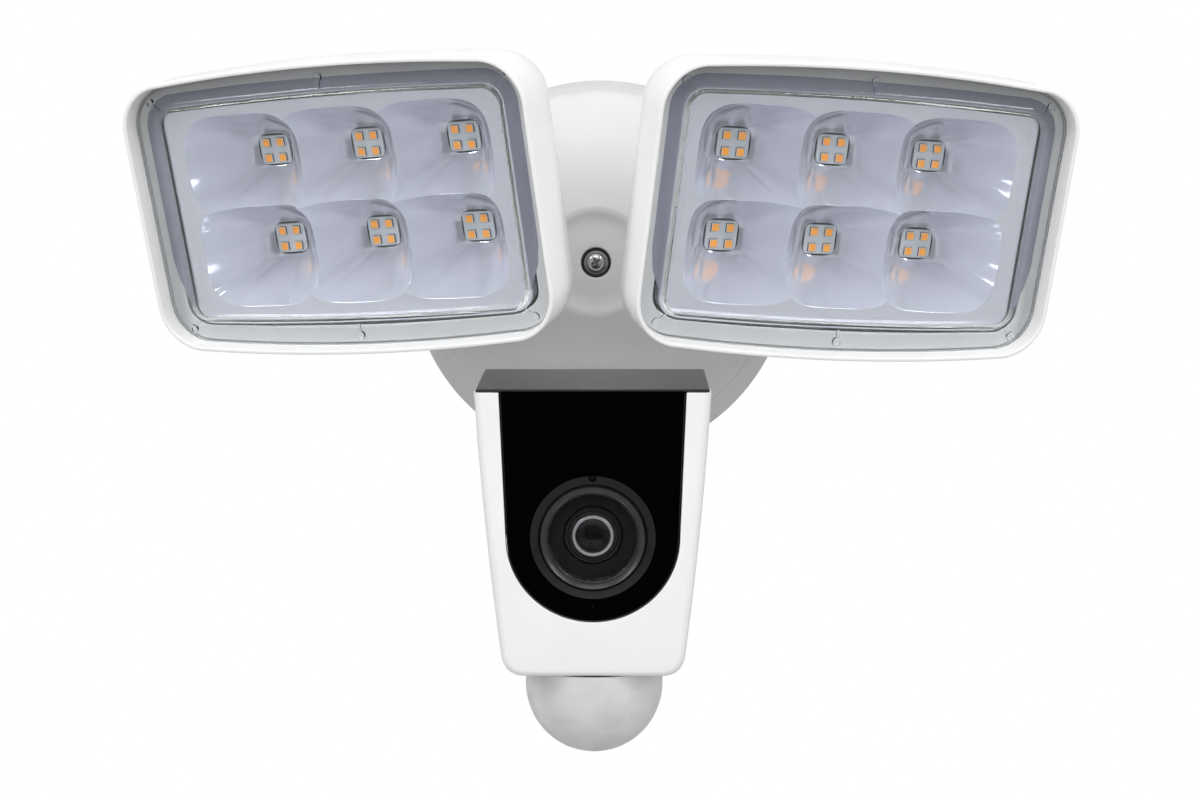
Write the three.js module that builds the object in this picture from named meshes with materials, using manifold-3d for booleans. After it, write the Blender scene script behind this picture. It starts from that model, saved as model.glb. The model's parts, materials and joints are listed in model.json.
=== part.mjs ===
// Floodlight security camera for an outdoor wall: a round canopy that carries two LED light heads and a
// camera with a motion sensor. Each head and the camera turn on a pan bolt and a tilt bolt.
//
// Units are millimetres. The wall is the plane Y = 0, the light faces -Y, +Z is up, and the origin is the
// centre of the mounting plate on the wall. Every sub-assembly is drawn in an "aim frame" of its own:
// x to the right, y up and z forwards, out of its face. In the canopy's frame z is the distance to the wall.

import * as THREE from "three";
import { mergeVertices } from "three/addons/utils/BufferGeometryUtils.js";
import { ConvexGeometry } from "three/addons/geometries/ConvexGeometry.js";
import Module from "manifold-3d";

const wasm = await Module();
wasm.setup();

// ---- driving dimensions ----

const GAP = 0.3;
const ROUND = 32;

const CANOPY = { backRadius: 65, seamRadius: 58.8, seam: 22, wall: 2.5, screwBore: 4.9, dish: 17.5 };
const PLATE = {
  radius: 52, thick: 3, bossRadius: 7, bossTop: 33.3, screwHole: 2.4, wireHole: 9, wireHoleUp: 26,
  slotFrom: 38, slotTo: 47, slotHalf: 2.5,
};
const SEAL = { inner: 57, outer: 64.3, thick: 2.4 };

const KNUCKLE = { disc: 7.5, height: 6, tongue: 7, width: 7, ear: 3.5, bolt: 2.5, boltHead: 4.5 };
const STEM = { radius: 7, back: 22.5, nutCenter: 24, nutRadius: 9, nutThick: 2.4, webFrom: 33, webHalf: 5 };

const HEAD = {
  width: 132, height: 83, bow: 2.3, corner: 14.5, lip: 1.3, cavity: 7.6, depth: 38, pivotBehindLip: 50,
  flangeFront: -4.9, flangeBack: -6.9, ledgeFront: -8.9, reflectorFront: -8.2, boardFront: -29.6,
};
// How far the housing's outline has drawn in at each depth behind the lip.
const HEAD_TAPER = [[0, 0], [0, -12], [1.1, -20], [3.3, -25.5], [6.2, -31], [9.6, -35.5], [14, -HEAD.depth]];
const WINDOW = { width: 113, height: 66, corner: 6, bow: 1.2, front: -3.4, bevel: 3.4, thick: 1.8 };
const REFLECTOR = { width: 112, height: 66, corner: 5, bow: 1.2 };
const POST = { cornerX: 57.5, cornerUp: 35.3, middleUp: 39.1, radius: 1.4, rise: 0.9 };
const LEDS = { columns: 3, rows: 2, pitchX: 31.35, pitchY: 26.8, packagePitch: 4.3, packageSize: 2.6 };

const HEAD_ARM = { panX: 55.6, panForward: 40.15, reach: 21, side: 2.7, bossX: 40 };
const HEAD_POSES = {
  left: { panX: -HEAD_ARM.panX, height: 26.2, yaw: -18.84, pitch: -18.6, roll: 1.0, bossX: -HEAD_ARM.bossX },
  right: { panX: HEAD_ARM.panX, height: 23.7, yaw: 18.73, pitch: -17.9, roll: -1.5, bossX: HEAD_ARM.bossX },
};

const CAMERA = {
  topHalf: 35, bottomHalf: 27.8, top: 44.4, topCover: 0.7, coverInset: 0.6, sideEnd: -35.8, bottom: -43.1,
  depth: 43, wall: 2.4,
  panelHalf: 27.3, panelRadius: 25.6, lensBore: 15.8, domeRadius: 21.2, domeBack: 21.4, domeDrop: 7.7,
  pivotUp: 16.1, pivotBack: 53.2,
};
const CAMERA_ARM = { height: -44, panForward: 45, reach: 3.2, drop: -17.5, yaw: 1.3, pitch: -9 };

// ---- colours and finishes ----

const finish = (color, roughness, metalness = 0) =>
  new THREE.MeshStandardMaterial({ color, roughness, metalness });
const FINISHES = {
  whiteShell: () => finish(0xf2f2f2, 0.55),
  canopyGrey: () => finish(0xd9d9d9, 0.6),
  rubber: () => finish(0x2b2b2b, 0.85),
  silicone: () => finish(0xb8b8b6, 0.7),
  clear: () => finish(0xdfe6e4, 0.1),
  reflector: () => finish(0xc7c9d8, 0.3),
  board: () => finish(0xe8e8e4, 0.5),
  circuit: () => finish(0x1d5a34, 0.5),
  aluminium: () => finish(0xb8babc, 0.4, 1),
  steel: () => finish(0xa5a7aa, 0.3, 1),
  glossBlack: () => finish(0x060606, 0.08),
  topGrey: () => finish(0x3a3c3e, 0.2),
  matteBlack: () => finish(0x151515, 0.6),
  dome: () => finish(0xcfd2d1, 0.4),
};

// ---- solids ----

function signedVolume(position, index) {
  const a = new THREE.Vector3();
  const b = new THREE.Vector3();
  const c = new THREE.Vector3();
  let volume = 0;
  for (let i = 0; i < index.length; i += 3) {
    a.fromArray(position, 3 * index[i]);
    b.fromArray(position, 3 * index[i + 1]);
    c.fromArray(position, 3 * index[i + 2]);
    volume += a.dot(b.cross(c)) / 6;
  }
  return volume;
}

// A closed three.js geometry becomes a solid with its faces pointing out.
function toSolid(geometry) {
  const bare = geometry.clone();
  bare.deleteAttribute("normal");
  bare.deleteAttribute("uv");
  const merged = mergeVertices(bare, 1e-3);
  const position = merged.attributes.position.array;
  const index = merged.index.array;
  const triangles = [];
  for (let i = 0; i < index.length; i += 3) {
    const [a, b, c] = [index[i], index[i + 1], index[i + 2]];
    if (a !== b && b !== c && c !== a) triangles.push(a, b, c);
  }
  if (signedVolume(position, triangles) < 0) triangles.reverse();
  const mesh = new wasm.Mesh({
    numProp: 3,
    vertProperties: new Float32Array(position),
    triVerts: new Uint32Array(triangles),
  });
  return new wasm.Manifold(mesh);
}

function toGeometry(solid) {
  const mesh = solid.getMesh();
  const geometry = new THREE.BufferGeometry();
  geometry.setAttribute("position", new THREE.BufferAttribute(new Float32Array(mesh.vertProperties), 3));
  geometry.setIndex(new THREE.BufferAttribute(new Uint32Array(mesh.triVerts), 1));
  geometry.computeVertexNormals();
  return geometry;
}

const join = (first, ...rest) => rest.reduce((solid, other) => solid.add(other), first);
const cut = (first, ...rest) => rest.reduce((solid, other) => solid.subtract(other), first);

function box(low, high) {
  const size = high.map((value, i) => value - low[i]);
  const geometry = new THREE.BoxGeometry(...size);
  return toSolid(geometry.translate(...high.map((value, i) => (value + low[i]) / 2)));
}

function rod(axis, center, radius, length, sides = 16) {
  const geometry = new THREE.CylinderGeometry(radius, radius, length, sides);
  if (axis === "x") geometry.rotateZ(Math.PI / 2);
  if (axis === "z") geometry.rotateX(Math.PI / 2);
  return toSolid(geometry.translate(...center));
}

// A closed profile of [radius, forward] points turned about the z axis.
function turned(profile, sides = ROUND) {
  const points = [...profile, profile[0]].map(([radius, forward]) => new THREE.Vector2(radius, forward));
  return toSolid(new THREE.LatheGeometry(points, sides).rotateX(Math.PI / 2));
}

const hull = (...pointLists) => toSolid(new ConvexGeometry(pointLists.flat()));

function plate(shape, back, front, curveSegments = 4) {
  const depth = front - back;
  const geometry = new THREE.ExtrudeGeometry(shape, { depth, bevelEnabled: false, curveSegments });
  return toSolid(geometry.translate(0, 0, back));
}

// A rectangle with round corners whose long sides bow outwards.
function roundedRectangle(width, height, corner, bow = 0) {
  const x = width / 2;
  const y = height / 2;
  const shape = new THREE.Shape();
  shape.moveTo(-x + corner, -y);
  shape.quadraticCurveTo(0, -y - 2 * bow, x - corner, -y);
  shape.absarc(x - corner, -y + corner, corner, -Math.PI / 2, 0);
  shape.absarc(x - corner, y - corner, corner, 0, Math.PI / 2);
  shape.quadraticCurveTo(0, y + 2 * bow, -x + corner, y);
  shape.absarc(-x + corner, y - corner, corner, Math.PI / 2, Math.PI);
  shape.absarc(-x + corner, -y + corner, corner, Math.PI, 1.5 * Math.PI);
  return shape;
}

const atDepth = (shape, forward, divisions = 3, [right, up] = [0, 0]) =>
  shape.getPoints(divisions).map((point) => new THREE.Vector3(point.x + right, point.y + up, forward));

function discPoints(axis, center, radius, length, sides = 14) {
  const geometry = new THREE.CylinderGeometry(radius, radius, length, sides);
  if (axis === "x") geometry.rotateZ(Math.PI / 2);
  if (axis === "z") geometry.rotateX(Math.PI / 2);
  geometry.translate(...center);
  const position = geometry.attributes.position;
  return Array.from({ length: position.count }, (_, i) => new THREE.Vector3().fromBufferAttribute(position, i));
}

function boxPoints(low, high) {
  const corners = [];
  for (const x of [low[0], high[0]]) {
    for (const y of [low[1], high[1]]) {
      for (const z of [low[2], high[2]]) corners.push(new THREE.Vector3(x, y, z));
    }
  }
  return corners;
}

// ---- scene graph ----

const floodlight = new THREE.Group();

// A frame whose z axis points the way a part faces: yaw is positive to the right, pitch is positive up.
function aimFrame(center, yaw = 0, pitch = 0, roll = 0) {
  const [yawRad, pitchRad, rollRad] = [yaw, pitch, roll].map(THREE.MathUtils.degToRad);
  const forward = new THREE.Vector3(
    Math.sin(yawRad) * Math.cos(pitchRad), -Math.cos(yawRad) * Math.cos(pitchRad), Math.sin(pitchRad));
  const level = new THREE.Vector3(Math.cos(yawRad), Math.sin(yawRad), 0);
  const right = level.clone().applyAxisAngle(forward, rollRad);
  const up = new THREE.Vector3().crossVectors(forward, right);
  const group = new THREE.Group();
  group.position.copy(center);
  group.quaternion.setFromRotationMatrix(new THREE.Matrix4().makeBasis(right, up, forward));
  group.updateMatrixWorld(true);
  floodlight.add(group);
  return group;
}

function addPart(frame, name, solid, material) {
  const mesh = new THREE.Mesh(toGeometry(solid), material);
  mesh.name = name;
  frame.add(mesh);
}

// ---- canopy ----

function mountingPlate() {
  const { slotFrom, slotTo, slotHalf } = PLATE;
  const slots = [[-slotTo, -slotFrom], [slotFrom, slotTo]].map(([left, right]) => box(
    [left, -slotHalf, -1], [right, slotHalf, PLATE.thick + 1]));
  return cut(
    join(
      rod("z", [0, 0, PLATE.thick / 2], PLATE.radius, PLATE.thick, ROUND),
      rod("z", [0, 0, PLATE.bossTop / 2 + 0.5], PLATE.bossRadius, PLATE.bossTop - 1)),
    rod("z", [0, 0, PLATE.bossTop], PLATE.screwHole, 36),
    rod("z", [0, PLATE.wireHoleUp, 0], PLATE.wireHole, 12),
    ...slots);
}

const wallGasket = () => turned([
  [SEAL.inner, 0], [SEAL.outer, 0], [SEAL.outer, SEAL.thick], [SEAL.inner, SEAL.thick],
]);

function canopyBase() {
  const { backRadius, seamRadius, seam, wall } = CANOPY;
  const back = SEAL.thick + 0.2;
  const ledge = back + wall + 0.1;
  return turned([
    [backRadius, back], [seamRadius + 0.2, seam - GAP], [seamRadius - wall, seam - GAP],
    [backRadius - wall - 0.5, ledge], [SEAL.inner, ledge], [SEAL.inner, back],
  ]);
}

function canopyFront(stems) {
  const { seamRadius, seam, screwBore, dish } = CANOPY;
  const outside = [
    [seamRadius, seam + 0.8], [58, 25.6], [55.4, 29], [50.5, 32.2], [41, 36], [29, 39], [dish, 40.6],
    [15.6, 40], [12.5, 38.7], [8, 38], [screwBore, 37.9],
  ];
  const inside = [
    [screwBore, 36.4], [2.6, 36.4], [2.6, PLATE.bossTop + GAP], [10, PLATE.bossTop + GAP], [15, 36.2],
    [29, 36.3], [40, 33.4], [49, 29.6], [53.6, 26.6], [55.8, seam + 0.8],
  ];
  const openings = stems.map(([x, y]) => rod("z", [x, y, 30], STEM.radius + GAP, 40));
  return cut(turned([...outside, ...inside]), ...openings);
}

const seamGasket = () => turned([[56.2, 21.9], [58.2, 21.9], [58.2, 22.6], [56.2, 22.6]]);

function centerScrew() {
  return turned([
    [0, 16], [1.4, 16], [2, 18], [2, 37.9], [2.9, 37.9], [2.9, 39], [2.2, 39.8], [1, 40.2], [0, 40.3],
  ], 20);
}

const screwWasher = () => turned([[2.3, 36.6], [4.2, 36.6], [4.2, 37.6], [2.3, 37.6]], 20);

function powerBoard() {
  return join(
    box([-30, 12.5, 8], [30, 46, 9.6]),
    box([-24, 20, 9.5], [-6, 38, 24]),
    rod("z", [10, 36, 16], 6, 14, 16),
    rod("z", [10, 22, 14], 5, 10, 16),
    box([18, 16, 9.5], [28, 40, 20]));
}

function terminalBlock() {
  const block = box([-15, -34, 8], [15, -20, 18]);
  const entries = [-10, 0, 10].map((x) => box([x - 3, -35, 10], [x + 3, -26, 16]));
  return cut(block, ...entries);
}

// ---- knuckles ----

// The fixed stem: a round boss through the canopy front and a flat disc for the pan bolt.
// discCenter is the middle of the disc, and the boss lies at the same height.
function stem(bossX, bossTop, discCenter) {
  const [, height, forward] = discCenter;
  const half = KNUCKLE.height / 2;
  const reach = forward > bossTop + 2 ? forward - 4 : bossTop;
  return cut(
    join(
      rod("z", [bossX, height, (bossTop + STEM.back) / 2], STEM.radius, bossTop - STEM.back),
      hull(
        discPoints("y", discCenter, KNUCKLE.disc, KNUCKLE.height),
        boxPoints(
          [bossX - STEM.webHalf, height - half, STEM.webFrom], [bossX + STEM.webHalf, height + half, reach]))),
    rod("y", discCenter, KNUCKLE.bolt + GAP, 20));
}

const stemNut = (bossX, height) => cut(
  rod("z", [bossX, height, STEM.nutCenter], STEM.nutRadius, STEM.nutThick, 6),
  rod("z", [bossX, height, STEM.nutCenter], STEM.radius + GAP, 10));

// The arm between the two bolts, in a frame at the pan bolt. side, up and reach place the tilt bolt, and
// the web to it starts clear of the stem's disc: in front of it, or on the disc's free side.
function arm(stemSide, side, up, reach) {
  const half = KNUCKLE.height / 2;
  const halfWidth = KNUCKLE.width / 2;
  const webRoot = up === 0
    ? boxPoints([side - halfWidth, -half, 3], [side + halfWidth, half, KNUCKLE.disc + 1])
    : boxPoints([side - halfWidth, -half, -5], [side + halfWidth, half, 5]);
  const webStart = up === 0
    ? boxPoints([side - halfWidth, -half, KNUCKLE.disc + 0.5], [side + halfWidth, half, KNUCKLE.disc + 1])
    : webRoot;
  return cut(
    join(
      rod("y", [0, 0, 0], KNUCKLE.disc, KNUCKLE.height, 20),
      hull(webRoot),
      hull(webStart, discPoints("x", [side, up, reach], KNUCKLE.tongue, KNUCKLE.width))),
    rod("y", [0, stemSide * 3, 0], KNUCKLE.bolt + GAP, 10),
    rod("x", [side, up, reach], KNUCKLE.bolt + GAP, 20));
}

// The pan bolt: its head lies on the stem's free side, stemSide is -1 below the arm and +1 above it.
function panBolt(stemSide) {
  const head = KNUCKLE.height * 1.5 + 2 * GAP;
  return join(
    rod("y", [0, stemSide * (head + 1), 0], KNUCKLE.boltHead, 2, 6),
    rod("y", [0, stemSide * (head - 1.2) / 2, 0], KNUCKLE.bolt, head + 1.6));
}

const earGap = () => KNUCKLE.width / 2 + GAP;
const earEnd = () => earGap() + KNUCKLE.ear;

// Two ears around the arm's tongue and a base plate, in a frame at the tilt bolt.
function bracket(plateFront, halfWidth, halfHeight) {
  const ears = [-1, 1].map((side) => {
    const inner = side > 0 ? earGap() : -earEnd();
    const outer = side > 0 ? earEnd() : -earGap();
    return hull(
      discPoints("x", [(inner + outer) / 2, 0, 0], KNUCKLE.tongue, KNUCKLE.ear),
      boxPoints([inner, -8, plateFront - 1.5], [outer, 8, plateFront]));
  });
  const base = plate(roundedRectangle(2 * halfWidth, 2 * halfHeight, 4), plateFront - 2, plateFront, 3);
  return cut(join(base, ...ears), rod("x", [0, 0, 0], KNUCKLE.bolt + GAP, 40));
}

function tiltBolt() {
  const headInner = earEnd() + GAP;
  return join(
    rod("x", [0, 0, 0], KNUCKLE.bolt, 2 * headInner + 2),
    rod("x", [headInner + 1.1, 0, 0], KNUCKLE.boltHead, 2.2, 20),
    rod("x", [-headInner - 1.1, 0, 0], KNUCKLE.boltHead, 2.2, 6));
}

// ---- light head, z = 0 at the front lip ----

const headOutline = (inset) => roundedRectangle(
  HEAD.width - 2 * inset, HEAD.height - 2 * inset, Math.max(HEAD.corner - inset, 3), HEAD.bow);

function headHousing() {
  const outside = hull(...HEAD_TAPER.map(([inset, forward]) => atDepth(headOutline(inset), forward)));
  const recess = plate(headOutline(HEAD.lip), HEAD.ledgeFront, 1);
  const cavity = hull(
    atDepth(headOutline(HEAD.cavity), 1), atDepth(headOutline(HEAD.cavity), HEAD.boardFront + 0.6),
    atDepth(headOutline(15), -35.5));
  return cut(outside, recess, cavity);
}

function headGasket() {
  const back = HEAD.ledgeFront + GAP;
  const front = HEAD.flangeBack - GAP;
  const opening = plate(headOutline(HEAD.cavity), back - 1, front + 1);
  return cut(plate(headOutline(HEAD.lip + GAP), back, front), opening);
}

// The clear cover: a flange with six posts round a raised window with a sloping edge.
function headLens() {
  const { width, height, corner, bow, front, bevel, thick } = WINDOW;
  const window = (grow, forward) => atDepth(
    roundedRectangle(width + grow, height + grow, corner, bow), forward);
  const posts = [];
  for (const x of [-POST.cornerX, 0, POST.cornerX]) {
    for (const side of [-1, 1]) {
      const up = side * (x === 0 ? POST.middleUp : POST.cornerUp);
      posts.push(rod("z", [x, up, HEAD.flangeFront], POST.radius, 2 * POST.rise, 10));
    }
  }
  return cut(
    join(
      plate(headOutline(HEAD.lip + GAP), HEAD.flangeBack, HEAD.flangeFront),
      hull(window(bevel, HEAD.flangeFront - 0.1), window(0, front)),
      ...posts),
    hull(window(-2, HEAD.flangeBack - 1), window(-2, front - thick)));
}

function ledCenters() {
  const centers = [];
  for (let column = 0; column < LEDS.columns; column += 1) {
    for (let row = 0; row < LEDS.rows; row += 1) {
      centers.push([(column - 1) * LEDS.pitchX, (row - 0.5) * LEDS.pitchY]);
    }
  }
  return centers;
}

// The reflector: a dish around each group of LEDs, wide in front and square behind.
function reflector() {
  const { width, height, corner, bow } = REFLECTOR;
  const block = plate(roundedRectangle(width, height, corner, bow), HEAD.boardFront + 0.4, HEAD.reflectorFront);
  const dishes = ledCenters().map((center) => {
    const ring = (across, high, round, forward) => atDepth(
      roundedRectangle(across, high, round), forward, 1, center);
    return hull(
      ring(38, 32, 9, HEAD.reflectorFront + GAP), ring(26, 22, 6, -19), ring(8.4, 8.4, 1.5, HEAD.boardFront));
  });
  return cut(block, ...dishes);
}

function ledBoard() {
  const front = HEAD.boardFront;
  const pieces = [];
  for (const [x, y] of ledCenters()) {
    pieces.push(box([x - 3.6, y - 3.6, front - 0.1], [x + 3.6, y + 3.6, front + 0.2]));
    for (const sideX of [-1, 1]) {
      for (const sideY of [-1, 1]) {
        const left = x + (sideX * LEDS.packagePitch - LEDS.packageSize) / 2;
        const low = y + (sideY * LEDS.packagePitch - LEDS.packageSize) / 2;
        pieces.push(box([left, low, front], [left + LEDS.packageSize, low + LEDS.packageSize, front + 0.7]));
      }
    }
  }
  return join(plate(roundedRectangle(106, 60, 4), front - 1.6, front, 2), ...pieces);
}

function heatPlate() {
  const ribs = [-32, -16, 0, 16, 32].map((x) => box([x - 3, -20, -35.1], [x + 3, 20, -33.5]));
  return join(box([-49, -25, -33.6], [49, 25, -31.5]), ...ribs);
}

// ---- camera, z = 0 at the front face, y = 0 at the lens axis ----

const SHELL_TOP = CAMERA.top - CAMERA.topCover - GAP;

// The camera's front outline below its top cover, made smaller by inset and carried up by above.
function cameraOutline(inset, above = 0) {
  const { topHalf, bottomHalf, sideEnd, bottom } = CAMERA;
  const topX = topHalf - inset;
  const bottomX = bottomHalf - inset;
  const bulgeX = (topX + bottomX) / 2 + 1.3;
  const middle = (SHELL_TOP + sideEnd) / 2;
  const floor = bottom + inset;
  const shape = new THREE.Shape();
  shape.moveTo(topX, SHELL_TOP + above);
  shape.lineTo(-topX, SHELL_TOP + above);
  if (above > 0) shape.lineTo(-topX, SHELL_TOP);
  shape.quadraticCurveTo(-bulgeX, middle, -bottomX, sideEnd);
  shape.quadraticCurveTo(-bottomX + 0.7, floor, -bottomX + 7, floor);
  shape.lineTo(bottomX - 7, floor);
  shape.quadraticCurveTo(bottomX - 0.7, floor, bottomX, sideEnd);
  shape.quadraticCurveTo(bulgeX, middle, topX, SHELL_TOP);
  return shape;
}

function facePanelOutline(inset, above = 0) {
  const half = CAMERA.panelHalf - inset;
  const radius = CAMERA.panelRadius - inset;
  const shape = new THREE.Shape();
  shape.moveTo(half, SHELL_TOP + above);
  shape.lineTo(-half, SHELL_TOP + above);
  if (above > 0) shape.lineTo(-half, SHELL_TOP);
  shape.lineTo(-radius, 0);
  shape.absarc(0, 0, radius, Math.PI, 2 * Math.PI);
  shape.lineTo(half, SHELL_TOP);
  return shape;
}

function cameraShell() {
  const { depth, wall, domeBack, bottom } = CAMERA;
  return cut(
    plate(cameraOutline(0), -depth, 0),
    plate(cameraOutline(wall, 20), -depth - 1, -3),
    plate(facePanelOutline(-GAP, 20), -4, 1, 8),
    rod("y", [0, bottom, -domeBack], 8, 12));
}

function facePanel() {
  return cut(
    plate(facePanelOutline(0), -2.9, 0, 8),
    rod("z", [0, 0, 0], CAMERA.lensBore, 10, ROUND),
    rod("z", [0, 18.5, 0], 1.2, 10, 10),
    rod("z", [0, -21.3, 0], 0.8, 10, 8));
}

function topCover() {
  const { topHalf, depth, top, coverInset } = CAMERA;
  const half = topHalf - coverInset;
  return box([-half, SHELL_TOP + GAP, -depth], [half, top, -coverInset]);
}

const SPEAKER = { up: -24, radius: 11 };
const BUTTON = { x: 15, up: -8, radius: 2.4 };

function backCover() {
  const { depth, wall } = CAMERA;
  const slots = [-6, -3, 0, 3, 6].map((offset) => box(
    [-6, SPEAKER.up + offset - 0.7, -depth - 1], [6, SPEAKER.up + offset + 0.7, -depth + 4]));
  return cut(
    plate(cameraOutline(wall + GAP), -depth, -depth + 2.4),
    rod("z", [BUTTON.x, BUTTON.up, -depth], BUTTON.radius + GAP, 10, 16),
    ...slots);
}

function lensBezel() {
  return turned([
    [13.5, -5.3], [18, -5.3], [18, -3.2], [15.5, -3.2], [15.5, 0.3], [14.9, 0.9], [14.1, 0.9], [13.5, 0.3],
  ]);
}

const lensWindow = () => rod("z", [0, 0, -0.8], 13.2, 1.2, ROUND);

const lensBarrel = () => turned([
  [0, -22], [8.5, -22], [8.5, -3.4], [7.6, -2.4], [6.2, -2.4], [5.2, -4], [5.2, -8], [0, -8],
], 24);

const lensElement = () => turned([[0, -7.6], [4.9, -7.6], [4.9, -5], [3.4, -3.9], [0, -3.4]], 24);

const sensorBoard = () => join(box([-12, -12, -24.2], [12, 12, -22.8]), box([-4, -4, -22.9], [4, 4, -22.3]));

function mainBoard() {
  return join(
    box([-23.5, -36, -29], [23.5, 34, -27.4]),
    box([-8, -8, -27.5], [8, 8, -25.6]),
    box([-20, 16, -27.5], [-8, 28, -25.8]),
    box([6, 14, -27.5], [20, 30, -22]));
}

const infraredBoard = () => join(
  box([-22, 24, -6], [22, 34, -4.8]),
  ...[-15, 15].map((x) => rod("z", [x, 29, -4.3], 2.5, 1.2)));

function speaker() {
  const back = -CAMERA.depth + 3;
  return join(
    rod("z", [0, SPEAKER.up, back + 1.8], SPEAKER.radius, 3.6, 24),
    rod("z", [0, SPEAKER.up, back + 4.9], 6, 3.4, 20));
}

// The button's head stands 1 mm out of the back cover, and a collar inside keeps it in.
function resetButton() {
  const back = -CAMERA.depth - 1;
  return join(
    rod("z", [BUTTON.x, BUTTON.up, back + 2.8], BUTTON.radius, 5.6, 16),
    rod("z", [BUTTON.x, BUTTON.up, back + 4.7], BUTTON.radius + 1.3, 1.6, 16));
}

// The sensor's dome hangs below the camera: a short collar, then half a sphere.
function sensorDome() {
  const { domeRadius, domeDrop, bottom, domeBack } = CAMERA;
  const thick = 1.3;
  const steps = 6;
  const arc = (radius, step) => {
    const angle = (step / steps) * (Math.PI / 2);
    return new THREE.Vector2(radius * Math.cos(angle), -radius * Math.sin(angle));
  };
  const outside = Array.from({ length: steps + 1 }, (_, step) => arc(domeRadius, step));
  const inside = Array.from({ length: steps + 1 }, (_, step) => arc(domeRadius - thick, steps - step));
  outside[steps].x = 0;
  inside[0].x = 0;
  const rim = [domeRadius - thick, domeRadius].map((radius) => new THREE.Vector2(radius, domeDrop - GAP));
  const geometry = new THREE.LatheGeometry([...outside, ...inside, ...rim, outside[0]], 28);
  return toSolid(geometry.translate(0, bottom - domeDrop, -domeBack));
}

function motionSensor() {
  const { bottom, domeBack } = CAMERA;
  return join(
    rod("y", [0, bottom + 4.5, -domeBack], 10, 1.6, 24),
    rod("y", [0, bottom - 3, -domeBack], 3.2, 14.6, 16),
    rod("y", [0, bottom - 11, -domeBack], 4.6, 4.5, 20));
}

// ---- assembly ----

function worldPoint(frame, x, y, z) {
  return frame.localToWorld(new THREE.Vector3(x, y, z));
}

function addArm(prefix, panPoint, yaw, stemSide, side, up, reach) {
  const frame = aimFrame(panPoint, yaw);
  addPart(frame, `${prefix}_arm`, arm(stemSide, side, up, reach), FINISHES.whiteShell());
  addPart(frame, `${prefix}_pan_bolt`, panBolt(stemSide), FINISHES.steel());
  return worldPoint(frame, side, up, reach);
}

function addLightHead(prefix, pose) {
  const stemSide = -1;
  const panPoint = new THREE.Vector3(pose.panX, -HEAD_ARM.panForward, pose.height);
  const tiltPoint = addArm(prefix, panPoint, pose.yaw, stemSide, HEAD_ARM.side, 0, HEAD_ARM.reach);
  const knuckle = aimFrame(tiltPoint, pose.yaw, pose.pitch);
  const plateFront = HEAD.pivotBehindLip - HEAD.depth - GAP;
  addPart(knuckle, `${prefix}_bracket`, bracket(plateFront, 18, 14), FINISHES.whiteShell());
  addPart(knuckle, `${prefix}_tilt_bolt`, tiltBolt(), FINISHES.steel());
  const lipPoint = worldPoint(knuckle, 0, 0, HEAD.pivotBehindLip);
  const head = aimFrame(lipPoint, pose.yaw, pose.pitch, pose.roll);
  addPart(head, `${prefix}_housing`, headHousing(), FINISHES.whiteShell());
  addPart(head, `${prefix}_heat_plate`, heatPlate(), FINISHES.aluminium());
  addPart(head, `${prefix}_led_board`, ledBoard(), FINISHES.board());
  addPart(head, `${prefix}_reflector`, reflector(), FINISHES.reflector());
  addPart(head, `${prefix}_gasket`, headGasket(), FINISHES.silicone());
  addPart(head, `${prefix}_lens`, headLens(), FINISHES.clear());
}

function addCamera() {
  const stemSide = 1;
  const armHeight = CAMERA_ARM.height - KNUCKLE.height - GAP;
  const panPoint = new THREE.Vector3(0, -CAMERA_ARM.panForward, armHeight);
  const up = CAMERA_ARM.height + CAMERA_ARM.drop - armHeight;
  const tiltPoint = addArm("camera", panPoint, CAMERA_ARM.yaw, stemSide, 0, up, CAMERA_ARM.reach);
  const knuckle = aimFrame(tiltPoint, CAMERA_ARM.yaw, CAMERA_ARM.pitch);
  const plateFront = CAMERA.pivotBack - CAMERA.depth - GAP;
  addPart(knuckle, "camera_bracket", bracket(plateFront, 14, 11), FINISHES.whiteShell());
  addPart(knuckle, "camera_tilt_bolt", tiltBolt(), FINISHES.steel());
  const lensPoint = worldPoint(knuckle, 0, -CAMERA.pivotUp, CAMERA.pivotBack);
  const camera = aimFrame(lensPoint, CAMERA_ARM.yaw, CAMERA_ARM.pitch);
  addPart(camera, "camera_shell", cameraShell(), FINISHES.whiteShell());
  addPart(camera, "camera_face_panel", facePanel(), FINISHES.glossBlack());
  addPart(camera, "camera_top_cover", topCover(), FINISHES.topGrey());
  addPart(camera, "camera_back_cover", backCover(), FINISHES.whiteShell());
  addPart(camera, "lens_bezel", lensBezel(), FINISHES.glossBlack());
  addPart(camera, "lens_window", lensWindow(), FINISHES.clear());
  addPart(camera, "lens_barrel", lensBarrel(), FINISHES.matteBlack());
  addPart(camera, "lens_element", lensElement(), FINISHES.clear());
  addPart(camera, "image_sensor_board", sensorBoard(), FINISHES.circuit());
  addPart(camera, "infrared_led_board", infraredBoard(), FINISHES.circuit());
  addPart(camera, "main_board", mainBoard(), FINISHES.circuit());
  addPart(camera, "speaker", speaker(), FINISHES.matteBlack());
  addPart(camera, "reset_button", resetButton(), FINISHES.matteBlack());
  addPart(camera, "motion_sensor_dome", sensorDome(), FINISHES.dome());
  addPart(camera, "motion_sensor", motionSensor(), FINISHES.steel());
}

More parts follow.
